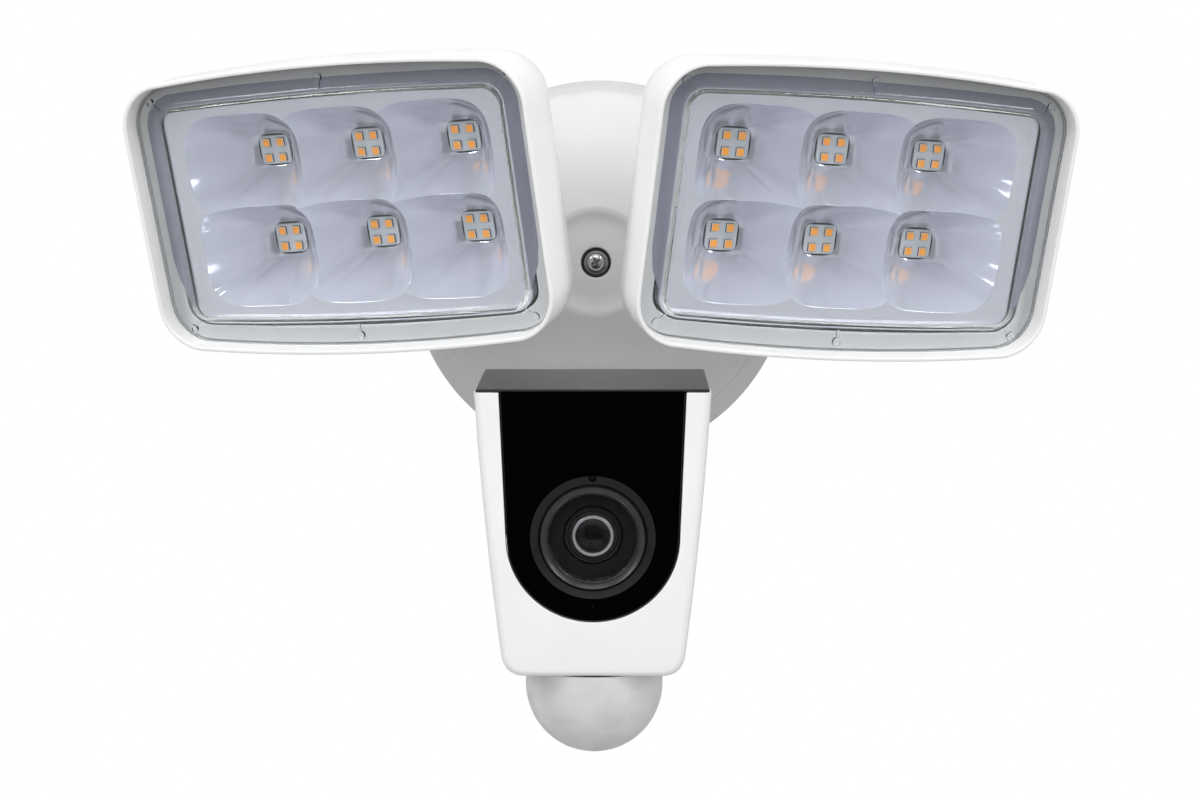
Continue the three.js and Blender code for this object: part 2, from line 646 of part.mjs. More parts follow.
function addCanopy() {
  const headStemDrop = KNUCKLE.height + GAP;
  const bossTop = 36.5;
  const cameraBossTop = 37;
  const stems = Object.entries(HEAD_POSES).map(([prefix, pose]) => ({
    prefix, bossX: pose.bossX, bossTop, disc: [pose.panX, pose.height - headStemDrop, HEAD_ARM.panForward],
  }));
  stems.push({
    prefix: "camera", bossX: 0, bossTop: cameraBossTop, disc: [0, CAMERA_ARM.height, CAMERA_ARM.panForward],
  });
  const canopy = aimFrame(new THREE.Vector3(0, 0, 0));
  const bosses = stems.map(({ bossX, disc }) => [bossX, disc[1]]);
  addPart(canopy, "mounting_plate", mountingPlate(), FINISHES.steel());
  addPart(canopy, "wall_gasket", wallGasket(), FINISHES.rubber());
  addPart(canopy, "canopy_base", canopyBase(), FINISHES.canopyGrey());
  addPart(canopy, "seam_gasket", seamGasket(), FINISHES.rubber());
  addPart(canopy, "canopy_front", canopyFront(bosses), FINISHES.canopyGrey());
  addPart(canopy, "center_screw", centerScrew(), FINISHES.steel());
  addPart(canopy, "screw_washer", screwWasher(), FINISHES.steel());
  addPart(canopy, "power_board", powerBoard(), FINISHES.circuit());
  addPart(canopy, "terminal_block", terminalBlock(), FINISHES.matteBlack());
  for (const { prefix, bossX, bossTop: top, disc } of stems) {
    addPart(canopy, `${prefix}_stem`, stem(bossX, top, disc), FINISHES.whiteShell());
    addPart(canopy, `${prefix}_stem_nut`, stemNut(bossX, disc[1]), FINISHES.steel());
  }
}

addCanopy();
for (const [prefix, pose] of Object.entries(HEAD_POSES)) addLightHead(prefix, pose);
addCamera();

export default floodlight;
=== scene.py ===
"""Looks of the floodlight security camera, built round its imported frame.

Pieces are drawn in millimetres in the aim frame of the part they belong to: x to the right, y up and z
forwards, out of the part's face. Each aim frame comes from the frame's joints, so a piece needs no fitting.
"""

import json
import math
from contextlib import contextmanager

import bmesh
import bpy
from mathutils import Matrix, Vector


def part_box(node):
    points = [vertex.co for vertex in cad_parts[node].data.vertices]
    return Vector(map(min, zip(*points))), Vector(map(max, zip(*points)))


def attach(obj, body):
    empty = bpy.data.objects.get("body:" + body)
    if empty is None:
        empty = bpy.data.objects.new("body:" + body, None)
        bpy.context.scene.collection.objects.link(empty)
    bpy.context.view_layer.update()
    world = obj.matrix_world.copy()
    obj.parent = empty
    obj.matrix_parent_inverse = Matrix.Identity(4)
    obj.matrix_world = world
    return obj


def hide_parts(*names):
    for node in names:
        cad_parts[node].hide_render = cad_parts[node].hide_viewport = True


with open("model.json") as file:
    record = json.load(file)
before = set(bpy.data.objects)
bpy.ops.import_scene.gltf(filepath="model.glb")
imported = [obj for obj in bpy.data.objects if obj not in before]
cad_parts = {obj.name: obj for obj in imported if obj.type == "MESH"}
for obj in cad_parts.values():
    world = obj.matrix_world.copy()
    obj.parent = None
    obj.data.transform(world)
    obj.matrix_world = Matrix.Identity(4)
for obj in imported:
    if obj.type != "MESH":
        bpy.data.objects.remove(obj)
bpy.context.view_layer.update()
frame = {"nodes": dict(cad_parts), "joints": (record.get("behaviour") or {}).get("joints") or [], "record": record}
JOINTS = {joint["name"]: joint for joint in frame["joints"]}

MM = 0.001
GAP = 0.3

# ---- sizes, in millimetres and degrees ----

HEAD = {
    "width": 132, "height": 83, "bow": 2.3, "corner": 14.5, "lip": 1.3, "edge": 0.5, "depth": 38,
    "behind_lip": 50, "cavity": 7.6, "ledge": -8.9,
}
HEAD_TAPER = [(14, -38), (9.6, -35.5), (6.2, -31), (3.3, -25.5), (1.1, -20), (0.15, -15), (0, -12)]
HEAD_AIM = {"left": {"pitch": -18.6, "roll": 1.0}, "right": {"pitch": -17.9, "roll": -1.5}}
WINDOW = {"width": 113, "height": 66, "corner": 6, "bow": 1.2, "front": -3.4, "bevel": 1.7, "thick": 1.8}
FLANGE = {"front": -4.9, "back": -6.9}
POST = {"x": 57.5, "y": 35.3, "middle_y": 39.1}
DISH = {
    "pitch_x": 31.35, "pitch_y": 26.8, "half_width": 19.0, "half_height": 16.0, "back_x": 5.5, "back_y": 4.9,
    "front": -8.2, "back": -29.2, "square": 3.6, "curve": 1.45,
}
REFLECTOR = {"width": 112, "height": 66, "corner": 5, "bow": 1.2}
LED = {"pitch": 4.7, "size": 2.55, "phosphor": 2.05, "pad": (9.8, 8.6), "board": -29.6}
CAMERA = {
    "pitch": -9, "up": 16.1, "behind": 53.2, "top_half": 35, "bottom_half": 27.8, "top": 44.4,
    "shell_top": 43.4, "cover_inset": 0.6, "side_end": -35.8, "bottom": -43.1, "depth": 43, "wall": 2.4,
    "bulge": 1.3, "corner_reach": 7, "panel_half": 27.3, "panel_radius": 25.6, "bore": 15.8,
}
SPEAKER_HEIGHT = -24
RESET_BUTTON = {"x": 15, "y": -8, "radius": 2.4}
DOME = {"radius": 21.2, "drop": 7.7, "back": 21.4, "wall": 1.3}
CANOPY = {"seam_radius": 58.8, "seam": 22}
STEM_RADIUS = 7.0
STEMS = {"left": (-40, 36.5), "right": (40, 36.5), "camera": (0, 37)}
STEM_BACK = 22.5
KNUCKLE = {"disc": 7.5, "height": 6, "tongue": 7, "width": 7, "ear": 3.5, "bolt": 2.5, "bolt_head": 4.5}
HEAD_ARM = {"stem_side": -1, "side": 2.7, "up": 0, "reach": 21, "plate": (18, 14)}
CAMERA_ARM = {"stem_side": 1, "side": 0, "up": -11.2, "reach": 3.2, "plate": (14, 11)}


# ---- aim frames ----

def aim_frame(point, yaw, pitch=0.0, roll=0.0):
    """Yaw is positive to the right, pitch is positive up, and roll turns about the forward axis."""
    forward = Vector((math.sin(yaw) * math.cos(pitch), -math.cos(yaw) * math.cos(pitch), math.sin(pitch)))
    level = Vector((math.cos(yaw), math.sin(yaw), 0.0))
    right = Matrix.Rotation(roll, 3, forward) @ level
    up = forward.cross(right)
    return Matrix.Translation(point) @ Matrix((right, up, forward)).transposed().to_4x4()


def joint_point(name):
    return Vector(JOINTS[name]["pos_m"])


def tilt_yaw(name):
    axis = JOINTS[name]["axis"]
    return math.atan2(axis[1], axis[0])


def part_frames(prefix, pitch, roll, offset):
    """The frames of the arm, of the bracket and of what the bracket carries."""
    yaw = tilt_yaw(f"{prefix}_tilt")
    arm = aim_frame(joint_point(f"{prefix}_pan"), yaw)
    bracket = aim_frame(joint_point(f"{prefix}_tilt"), yaw, pitch)
    carried = aim_frame(bracket @ (Vector(offset) * MM), yaw, pitch, roll)
    return arm, bracket, carried


CANOPY_FRAME = aim_frame(Vector((0, 0, 0)), 0.0)


# ---- mesh tools ----

def linked_object(name, data):
    obj = bpy.data.objects.new(name, data)
    bpy.context.scene.collection.objects.link(obj)
    return obj


@contextmanager
def editing(mesh):
    bm = bmesh.new()
    bm.from_mesh(mesh)
    yield bm
    bm.to_mesh(mesh)
    bm.free()


def mesh_object(name, points, faces):
    mesh = bpy.data.meshes.new(name)
    mesh.from_pydata([Vector(point) * MM for point in points], [], faces)
    with editing(mesh) as bm:
        bmesh.ops.remove_doubles(bm, verts=bm.verts, dist=1e-6)
        bmesh.ops.recalc_face_normals(bm, faces=bm.faces)
    return linked_object(name, mesh)


def loft(name, rings, ends="capped"):
    """Quads between rings of equally many points. ends is capped, joined (last ring to first) or open."""
    count = len(rings[0])
    points = [point for ring in rings for point in ring]
    faces = []
    spans = len(rings) if ends == "joined" else len(rings) - 1
    for span in range(spans):
        a = span * count
        b = (span + 1) % len(rings) * count
        for i in range(count):
            j = (i + 1) % count
            faces.append((a + i, a + j, b + j, b + i))
    if ends == "capped":
        faces.append(tuple(range(count)))
        faces.append(tuple(range(len(points) - count, len(points))))
    return mesh_object(name, points, faces)


def lathe(name, profile, sides=96, center=(0, 0, 0), axis="z"):
    """Turns a closed profile of (radius, height) points about an axis through center."""
    spin = {"z": lambda r, h, c, s: (r * c, r * s, h),
            "y": lambda r, h, c, s: (r * s, h, r * c),
            "x": lambda r, h, c, s: (h, r * c, r * s)}[axis]
    rings = []
    for radius, height in profile:
        ring = []
        for i in range(sides):
            angle = 2 * math.pi * i / sides
            offset = spin(radius, height, math.cos(angle), math.sin(angle))
            ring.append(tuple(o + c for o, c in zip(offset, center)))
        rings.append(ring)
    return loft(name, rings, "joined")


def rod(name, axis, center, radius, length, sides=48):
    half = length / 2
    return lathe(name, [(0, -half), (radius, -half), (radius, half), (0, half)], sides, center, axis)


def box(name, low, high):
    faces = [(0, 1, 3, 2), (4, 6, 7, 5), (0, 4, 5, 1), (2, 3, 7, 6), (0, 2, 6, 4), (1, 5, 7, 3)]
    return mesh_object(name, box_points(low, high), faces)


def hull(name, *point_lists):
    mesh = bpy.data.meshes.new(name)
    with editing(mesh) as bm:
        for points in point_lists:
            for point in points:
                bm.verts.new(Vector(point) * MM)
        made = bmesh.ops.convex_hull(bm, input=bm.verts)
        spare = made["geom_interior"] + made["geom_unused"]
        inside = {item for item in spare if isinstance(item, bmesh.types.BMVert)}
        bmesh.ops.delete(bm, geom=list(inside), context="VERTS")
        bmesh.ops.recalc_face_normals(bm, faces=bm.faces)
        bmesh.ops.dissolve_limit(bm, angle_limit=math.radians(0.5), verts=bm.verts, edges=bm.edges)
    return linked_object(name, mesh)


def disc_points(axis, center, radius, length, sides=48):
    points = []
    for i in range(sides):
        c = radius * math.cos(2 * math.pi * i / sides)
        s = radius * math.sin(2 * math.pi * i / sides)
        for h in (-length / 2, length / 2):
            offset = {"x": (h, c, s), "y": (s, h, c), "z": (c, s, h)}[axis]
            points.append(tuple(o + m for o, m in zip(offset, center)))
    return points


def box_points(low, high):
    return [(x, y, z) for x in (low[0], high[0]) for y in (low[1], high[1]) for z in (low[2], high[2])]


def combine(target, operation, tools):
    """Joins tools to target or cuts them from it, and removes them."""
    for tool in tools:
        modifier = target.modifiers.new(operation, "BOOLEAN")
        modifier.operation = operation
        modifier.object = tool
        modifier.solver = "MANIFOLD"
    graph = bpy.context.evaluated_depsgraph_get()
    made = bpy.data.meshes.new_from_object(target.evaluated_get(graph))
    target.modifiers.clear()
    target.data = made
    for tool in tools:
        bpy.data.objects.remove(tool)
    with editing(made) as bm:
        bmesh.ops.remove_doubles(bm, verts=bm.verts, dist=2e-6)
        bmesh.ops.dissolve_limit(bm, angle_limit=math.radians(0.5), verts=bm.verts, edges=bm.edges)
    return target


def cut(target, *tools):
    return combine(target, "DIFFERENCE", tools)


def join(target, *tools):
    return combine(target, "UNION", tools)


def merged(name, parts):
    """One object out of many that don't touch."""
    points = []
    faces = []
    for part in parts:
        start = len(points)
        points += [vertex.co / MM for vertex in part.data.vertices]
        faces += [tuple(start + i for i in polygon.vertices) for polygon in part.data.polygons]
        bpy.data.objects.remove(part)
    return mesh_object(name, points, faces)


def smooth_curve(points, steps=6):
    """A Catmull-Rom curve through the points."""
    vectors = [Vector(point) for point in points]
    ends = [2 * vectors[0] - vectors[1], 2 * vectors[-1] - vectors[-2]]
    padded = [ends[0], *vectors, ends[1]]
    curve = []
    for a, b, c, d in zip(padded, padded[1:], padded[2:], padded[3:]):
        for step in range(steps):
            t = step / steps
            curve.append(tuple(0.5 * (2 * b + (c - a) * t + (2 * a - 5 * b + 4 * c - d) * t ** 2
                                      + (3 * b - a - 3 * c + d) * t ** 3)))
    curve.append(tuple(vectors[-1]))
    return curve


def arc(center, radius, start, end, steps):
    """Points of a circle from the start to the end angle, in degrees."""
    angles = [math.radians(start + (end - start) * i / steps) for i in range(steps + 1)]
    return [(center[0] + radius * math.cos(a), center[1] + radius * math.sin(a)) for a in angles]


def outline(width, height, corner, bow=0.0, corner_steps=12, long_steps=28, short_steps=8):
    """A rectangle with round corners whose long sides bow outwards, as (x, y) points."""
    x = width / 2 - corner
    y = height / 2 - corner
    points = []
    for sign in (-1, 1):
        for i in range(long_steps):
            t = i / long_steps
            bulge = 4 * bow * t * (1 - t)
            points.append((-sign * x * (2 * t - 1), sign * (height / 2 + bulge)))
        turn = 270 if sign < 0 else 90
        points += arc((-sign * x, sign * y), corner, turn, turn + 90, corner_steps)
        for i in range(1, short_steps):
            t = i / short_steps
            points.append((-sign * width / 2, sign * y * (1 - 2 * t)))
        points += arc((-sign * x, -sign * y), corner, turn + 90, turn + 180, corner_steps)[:-1]
    return points


def at_depth(points, z):
    return [(x, y, z) for x, y in points]


# ---- materials ----

NOISE_LOW = 0.3
NOISE_HIGH = 0.7


def add_node(tree, kind, **inputs):
    """A new node. An input given as another node's output is linked, and any other is set."""
    node = tree.nodes.new(kind)
    for name, value in inputs.items():
        socket = node.inputs[name.replace("_", " ")]
        if isinstance(value, bpy.types.NodeSocket):
            tree.links.new(value, socket)
        else:
            socket.default_value = value
    return node


def mix_by_ray(tree, ray, first, second, target):
    """Sends the first shader to target, or the second one where the ray is of the named kind."""
    mix = add_node(tree, "ShaderNodeMixShader", Fac=tree.nodes.new("ShaderNodeLightPath").outputs[ray])
    tree.links.new(first, mix.inputs[1])
    tree.links.new(second, mix.inputs[2])
    tree.links.new(mix.outputs["Shader"], target)


def material(name, **values):
    """A material with a Principled shader whose uniform sockets are set directly."""
    made = bpy.data.materials.new(name)
    made.use_nodes = True
    shader = made.node_tree.nodes["Principled BSDF"]
    for socket, value in values.items():
        shader.inputs[socket.replace("_", " ")].default_value = value
    return made, made.node_tree, shader


def texture(tree, kind, grain, **values):
    """A texture in the object's own coordinates. grain is the size of its detail in millimetres."""
    place = tree.nodes.new("ShaderNodeTexCoord").outputs["Object"]
    return add_node(tree, kind, Vector=place, Scale=1 / (grain * MM), **values)


def noise(tree, grain, **values):
    return texture(tree, "ShaderNodeTexNoise", grain, **values).outputs["Fac"]


def add_bump(tree, shader, height, depth):
    """Bumps by a texture, with their depth in millimetres."""
    bump = add_node(tree, "ShaderNodeBump", Distance=depth * MM, Strength=1.0, Height=height)
    tree.links.new(bump.outputs["Normal"], shader.inputs["Normal"])


def vary(tree, shader, source, low, high):
    """Varies the roughness between low and high by a texture."""
    ramp = add_node(tree, "ShaderNodeMapRange", Value=source, From_Min=NOISE_LOW, From_Max=NOISE_HIGH,
                    To_Min=low, To_Max=high)
    tree.links.new(ramp.outputs["Result"], shader.inputs["Roughness"])


def tint(tree, shader, source, low, high):
    """Colours the surface between two colours by a texture."""
    ramp = add_node(tree, "ShaderNodeValToRGB", Fac=source)
    for element, position, color in zip(ramp.color_ramp.elements, (NOISE_LOW, NOISE_HIGH), (low, high)):
        element.position = position
        element.color = (*color, 1)
    tree.links.new(ramp.outputs["Color"], shader.inputs["Base Color"])


def surfaced(name, low, high, rough, grain=0.5, depth=0.02, patch=25, **values):
    """A surface with fine grain, and slow patches of colour and roughness."""
    made, tree, shader = material(name, **values)
    patches = noise(tree, patch, Detail=3.0)
    tint(tree, shader, patches, low, high)
    vary(tree, shader, patches, *rough)
    add_bump(tree, shader, noise(tree, grain, Detail=4.0, Roughness=0.65), depth)
    return made


def grey(value):
    return (value, value, value)


def clear_plastic(name, color, rough, ior, shadow):
    """Clear plastic: glass to the eye, and a tinted window to the light of the lamps."""
    made, tree, shader = material(
        name, Base_Color=(*color, 1), IOR=ior, Transmission_Weight=1.0)
    vary(tree, shader, noise(tree, 9.0, Detail=1.0), rough, rough + 0.01)
    see_through = add_node(tree, "ShaderNodeBsdfTransparent", Color=(*shadow, 1))
    mix_by_ray(tree, "Is Shadow Ray", shader.outputs["BSDF"], see_through.outputs["BSDF"],
               tree.nodes["Material Output"].inputs["Surface"])
    return made


def brushed_metal(name, low, high, rough):
    made, tree, shader = material(name, Metallic=1.0)
    patches = noise(tree, 3.0, Detail=5.0)
    tint(tree, shader, patches, low, high)
    vary(tree, shader, patches, *rough)
    add_bump(tree, shader, noise(tree, 0.3, Detail=2.0), 0.004)
    return made


def circuit_board(name):
    """Green solder mask with pale tracks and pads."""
    made, tree, shader = material(name, Roughness=0.35, Coat_Weight=0.3)
    tracks = texture(
        tree, "ShaderNodeTexBrick", 3.0, Color1=(0.02, 0.14, 0.06, 1), Color2=(0.03, 0.18, 0.08, 1),
        Mortar=(0.10, 0.30, 0.14, 1), Mortar_Size=0.06)
    tree.links.new(tracks.outputs["Color"], shader.inputs["Base Color"])
    add_bump(tree, shader, tracks.outputs["Fac"], 0.02)
    return made


def milky_dome(name):
    """Milky polyethylene: light goes into it, and its lens facets show as soft patches."""
    made, tree, shader = material(
        name, Subsurface_Weight=0.35, Subsurface_Scale=0.004, IOR=1.5, Specular_IOR_Level=0.45)
    shader.inputs["Subsurface Radius"].default_value = (1.0, 1.0, 0.95)
    cloud = noise(tree, 11.0, Detail=2.0, Distortion=0.6)
    tint(tree, shader, cloud, (0.60, 0.605, 0.60), (0.72, 0.725, 0.72))
    vary(tree, shader, cloud, 0.36, 0.48)
    add_bump(tree, shader, noise(tree, 2.2, Detail=2.0), 0.05)
    return made


def phosphor(name):
    # Painted glow: a weak orange emission brightens the phosphor, though the LEDs are off.
    made, tree, shader = material(
        name, Roughness=0.45, Emission_Color=(1.0, 0.33, 0.04, 1), Emission_Strength=0.3)
    grain = noise(tree, 0.5, Detail=3.0)
    tint(tree, shader, grain, (0.96, 0.38, 0.05), (1.0, 0.47, 0.08))
    add_bump(tree, shader, grain, 0.01)
    return made


LOOKS = {}


def add_look(maker, name, *colors, **values):
    LOOKS[name] = maker(name, *colors, **values)


add_look(surfaced, "white_shell", grey(0.86), grey(0.89), (0.42, 0.52), 0.45, 0.035)
add_look(surfaced, "canopy_grey", grey(0.67), grey(0.70), (0.46, 0.56), 0.5, 0.08)
add_look(surfaced, "rubber", grey(0.022), grey(0.035), (0.65, 0.8), 0.6, 0.03)
add_look(surfaced, "silicone", (0.70, 0.69, 0.70), (0.74, 0.73, 0.74), (0.5, 0.6), 0.8, 0.02)
add_look(surfaced, "reflector", (0.83, 0.835, 0.925), (0.85, 0.855, 0.945), (0.05, 0.08), 8.0, 0.004,
         Metallic=0.5)
# A darker copy of the reflector's lavender: painted shade under the flange's top and sides.
add_look(surfaced, "painted_shade_skirt", (0.27, 0.27, 0.34), (0.30, 0.30, 0.37), (0.3, 0.4), 1.0, 0.006)
add_look(surfaced, "led_board", (0.80, 0.83, 0.86), (0.84, 0.87, 0.90), (0.4, 0.5), 0.8, 0.01)
add_look(surfaced, "package", grey(0.82), grey(0.86), (0.35, 0.45), 0.3, 0.005)
# Near black: the packages' sides, and on the board base painted shadow in the gap round the pads.
add_look(surfaced, "dark_side_and_gap_shade", grey(0.05), grey(0.07), (0.4, 0.5), 0.3, 0.005)
add_look(phosphor, "phosphor")
add_look(circuit_board, "circuit")
add_look(brushed_metal, "aluminium", grey(0.52), grey(0.6), (0.35, 0.5))
add_look(brushed_metal, "steel", grey(0.5), grey(0.62), (0.16, 0.28))
add_look(surfaced, "gloss_black", grey(0.0008), grey(0.0012), (0.03, 0.05), 30.0, 0.001, 40,
         Specular_IOR_Level=0.5)
add_look(surfaced, "top_grey", grey(0.012), grey(0.018), (0.10, 0.16), 0.8, 0.003, 12)
add_look(surfaced, "matte_black", grey(0.014), grey(0.02), (0.5, 0.65), 0.4, 0.02)
add_look(surfaced, "ring_black", grey(0.022), grey(0.028), (0.26, 0.32), 0.5, 0.004, 8)
add_look(surfaced, "lens_face", grey(0.010), grey(0.012), (0.5, 0.6), 0.5, 0.002, 8)
add_look(brushed_metal, "ring_metal", grey(0.75), grey(0.8), (0.4, 0.5))
add_look(clear_plastic, "clear_cover", (0.93, 0.95, 0.95), 0.02, 1.49, (0.92, 0.93, 0.94))
add_look(clear_plastic, "lens_glass", (0.86, 0.87, 0.88), 0.01, 1.5, (0.85, 0.86, 0.87))
add_look(milky_dome, "sensor_dome")


# ---- finishing a piece ----

def soften(obj, bevel=0.0, crease=35):
    """Smooth shading that keeps creases, and small round edges where bevel is given in millimetres."""
    obj.data.shade_smooth()
    if bevel:
        modifier = obj.modifiers.new("round_edges", "BEVEL")
        modifier.width = bevel * MM
        modifier.segments = 3
        modifier.limit_method = "ANGLE"
        modifier.angle_limit = math.radians(crease)
        modifier.harden_normals = True
        modifier.use_clamp_overlap = True
    else:
        obj.data.set_sharp_from_angle(angle=math.radians(crease))
    return obj


def piece(obj, place, body, look, nodes=(), slot=None, bevel=0.0, crease=35):
    soften(obj, bevel, crease)
    obj.matrix_world = place
    obj.data.materials.clear()
    obj.data.materials.append(LOOKS[look])
    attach(obj, body)
    if nodes:
        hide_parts(*nodes)
    return obj


# ---- knuckles ----

def knuckle_stem(name, prefix, disc):
    """The boss through the canopy and the disc for the pan bolt, in the canopy's frame."""
    boss_x, boss_top = STEMS[prefix]
    _, height, forward = disc
    half = KNUCKLE["height"] / 2
    reach = forward - 4 if forward > boss_top + 2 else boss_top
    boss = lathe(name, [
        (0, STEM_BACK), (6.7, STEM_BACK), (STEM_RADIUS, 22.8), (STEM_RADIUS, boss_top - 0.6),
        (6.4, boss_top), (0, boss_top)], 72, (boss_x, height, 0))
    web = hull(
        f"{name}_web", disc_points("y", disc, KNUCKLE["disc"], KNUCKLE["height"], 72),
        box_points((boss_x - 5, height - half, 33), (boss_x + 5, height + half, reach)))
    bore = rod(f"{name}_bore", "y", disc, KNUCKLE["bolt"] + GAP, 20)
    return cut(join(boss, web), bore)


def stem_nut(name, prefix, height):
    """A hexagon nut with chamfered corners, in the canopy's frame."""
    center = (STEMS[prefix][0], height, 0)
    nut = lathe(name, [(0, 22.8), (8.6, 22.8), (9, 23.1), (9, 24.9), (8.6, 25.2), (0, 25.2)], 6, center)
    thread = [(0, 22)] + [(STEM_RADIUS + GAP - 0.2 * (i % 2), 22.4 + 0.3 * i) for i in range(12)] + [(0, 26)]
    return cut(nut, lathe(f"{name}_thread", thread, 48, center))


def knuckle_arm(name, arm):
    half = KNUCKLE["height"] / 2
    wide = KNUCKLE["width"] / 2
    disc = KNUCKLE["disc"]
    side, up, reach = arm["side"], arm["up"], arm["reach"]
    if up == 0:
        root = box_points((side - wide, -half, 3), (side + wide, half, disc + 1))
        start = box_points((side - wide, -half, disc + 0.5), (side + wide, half, disc + 1))
    else:
        root = start = box_points((side - wide, -half, -5), (side + wide, half, 5))
    tongue = disc_points("x", (side, up, reach), KNUCKLE["tongue"], KNUCKLE["width"], 72)
    web = hull(f"{name}_web", start, tongue)
    made = join(rod(name, "y", (0, 0, 0), disc, KNUCKLE["height"], 72), hull(f"{name}_root", root), web)
    bolt = KNUCKLE["bolt"] + GAP
    return cut(
        made, rod(f"{name}_pan_bore", "y", (0, arm["stem_side"] * 3, 0), bolt, 10),
        rod(f"{name}_tilt_bore", "x", (side, up, reach), bolt, 20))


def pan_bolt(name, stem_side):
    """A hexagon bolt whose shaft runs through the stem's disc into the arm."""
    inner = KNUCKLE["height"] * 1.5 + 2 * GAP
    radius = KNUCKLE["bolt_head"]
    profile = [(0, 0), (radius - 0.2, 0), (radius, 0.2), (radius, 1.6), (radius - 0.4, 2), (0, 2)]
    head = lathe(name, [(r, stem_side * (inner + h)) for r, h in profile], 6, axis="y")
    shaft = rod(f"{name}_shaft", "y", (0, stem_side * (inner - 1.2) / 2, 0), KNUCKLE["bolt"], inner + 1.6)
    return join(head, shaft)


def knuckle_bracket(name, plate_front, half_size):
    """Two ears round the arm's tongue on a base plate with four countersunk screws."""
    inner = KNUCKLE["width"] / 2 + GAP
    outer = inner + KNUCKLE["ear"]
    wide, high = half_size
    base = loft(name, [at_depth(outline(2 * wide, 2 * high, 4), z) for z in (plate_front - 2, plate_front)])
    ears = []
    for side in (-1, 1):
        near, far = sorted((side * inner, side * outer))
        ears.append(hull(
            f"{name}_ear", disc_points("x", ((near + far) / 2, 0, 0), KNUCKLE["tongue"], KNUCKLE["ear"], 72),
            box_points((near, -8, plate_front - 1.5), (far, 8, plate_front))))
    back = plate_front - 2
    sink = [(0, back - 0.4), (2.1, back - 0.4), (1.2, back + 0.6), (0, back + 0.6)]
    sinks = [lathe(f"{name}_sink", sink, 32, (x, y, 0)) for x, y in bracket_screws(half_size)]
    return cut(join(base, *ears), rod(f"{name}_bore", "x", (0, 0, 0), KNUCKLE["bolt"] + GAP, 40), *sinks)


def bracket_screws(half_size):
    wide, high = half_size
    return [(x * (wide - 3.4), y * (high - 3.4)) for x in (-1, 1) for y in (-1, 1)]


def bracket_screw_heads(name, plate_front, half_size):
    back = plate_front - 2
    profile = [(0, back + 0.02), (1.6, back + 0.05), (1.15, back + 0.55), (0, back + 0.55)]
    heads = []
    for x, y in bracket_screws(half_size):
        head = lathe(f"{name}_head", profile, 32, (x, y, 0))
        slots = [box(f"{name}_slot", (x - a, y - b, back - 1), (x + a, y + b, back + 0.3))
                 for a, b in ((1.0, 0.22), (0.22, 1.0))]
        heads.append(cut(head, *slots))
    return merged(name, heads)


def tilt_bolt(name):
    """A button head with a hexagon socket at one end and a hexagon nut at the other."""
    inner = KNUCKLE["width"] / 2 + 2 * GAP + KNUCKLE["ear"]
    radius = KNUCKLE["bolt_head"]

    def turned(part, profile, sides, side=1):
        return lathe(part, [(r, side * (inner + h)) for r, h in profile], sides, axis="x")

    head = turned(name, [(0, 0), (radius, 0), (radius, 0.7), (4.2, 1.4), (3.4, 2), (2.4, 2.2), (0, 2.2)], 64)
    socket = turned(f"{name}_socket", [(0, 0.8), (1.9, 0.8), (1.9, 3), (0, 3)], 6)
    shaft = rod(f"{name}_shaft", "x", (-0.3, 0, 0), KNUCKLE["bolt"], 2 * inner + 2.6)
    nut = turned(f"{name}_nut", [
        (0, 0), (radius - 0.2, 0), (radius, 0.2), (radius, 1.8), (radius - 0.4, 2.2), (0, 2.2)], 6, -1)
    return cut(join(head, shaft, nut), socket)


def build_knuckle(prefix, size, arm_frame, bracket_frame, plate_front, carried_body):
    side, plate = size["stem_side"], size["plate"]
    pan = joint_point(f"{prefix}_pan") / MM
    height = pan.z + side * (KNUCKLE["height"] + GAP)
    stem = knuckle_stem(f"{prefix}_knuckle_stem", prefix, (pan.x, height, -pan.y))
    piece(stem, CANOPY_FRAME, "canopy", "white_shell", [f"{prefix}_stem"], bevel=0.5)
    nut = stem_nut(f"{prefix}_knuckle_nut", prefix, height)
    piece(nut, CANOPY_FRAME, "canopy", "steel", [f"{prefix}_stem_nut"])
    body = f"{prefix}_arm"
    piece(knuckle_arm(f"{prefix}_knuckle_arm", size), arm_frame, body, "white_shell", [body], bevel=0.5)
    piece(pan_bolt(f"{prefix}_knuckle_pan_bolt", side), arm_frame, body, "steel", [f"{prefix}_pan_bolt"])
    bracket = knuckle_bracket(f"{prefix}_knuckle_bracket", plate_front, plate)
    piece(bracket, bracket_frame, carried_body, "white_shell", [f"{prefix}_bracket"], bevel=0.4)
    screws = bracket_screw_heads(f"{prefix}_bracket_screws", plate_front, plate)
    piece(screws, bracket_frame, carried_body, "steel")
    bolt = tilt_bolt(f"{prefix}_knuckle_tilt_bolt")
    piece(bolt, bracket_frame, carried_body, "steel", [f"{prefix}_tilt_bolt"])


# ---- light heads ----

def head_outline(inset):
    return outline(
        HEAD["width"] - 2 * inset, HEAD["height"] - 2 * inset, max(HEAD["corner"] - inset, 3), HEAD["bow"])


def window_outline(grow):
    return outline(
        WINDOW["width"] + grow, WINDOW["height"] + grow, WINDOW["corner"] + grow / 2, WINDOW["bow"])


def head_housing(name):
    back = smooth_curve(HEAD_TAPER, 4)
    lip = HEAD["lip"]
    edge = HEAD["edge"]
    front = [(edge - x, z - edge) for x, z in arc((0, 0), edge, 0, 90, 4)]
    front += [(lip - edge - x, z - edge) for x, z in arc((0, 0), edge, 90, 180, 4)]
    inside = [
        (lip + 0.15, HEAD["ledge"]), (HEAD["cavity"], HEAD["ledge"]), (HEAD["cavity"], -29), (10.5, -32),
        (15, -35.5),
    ]
    profile = [*back, *front, *inside]
    return loft(name, [at_depth(head_outline(inset), z) for inset, z in profile])


def head_gasket(name):
    low = HEAD["ledge"] + GAP
    high = FLANGE["back"] - GAP
    outer = HEAD["lip"] + 0.8
    inner = HEAD["cavity"] - 0.5
    profile = [(outer, low), (inner, low), (inner, high), (outer, high)]
    return loft(name, [at_depth(head_outline(inset), z) for inset, z in profile], "joined")


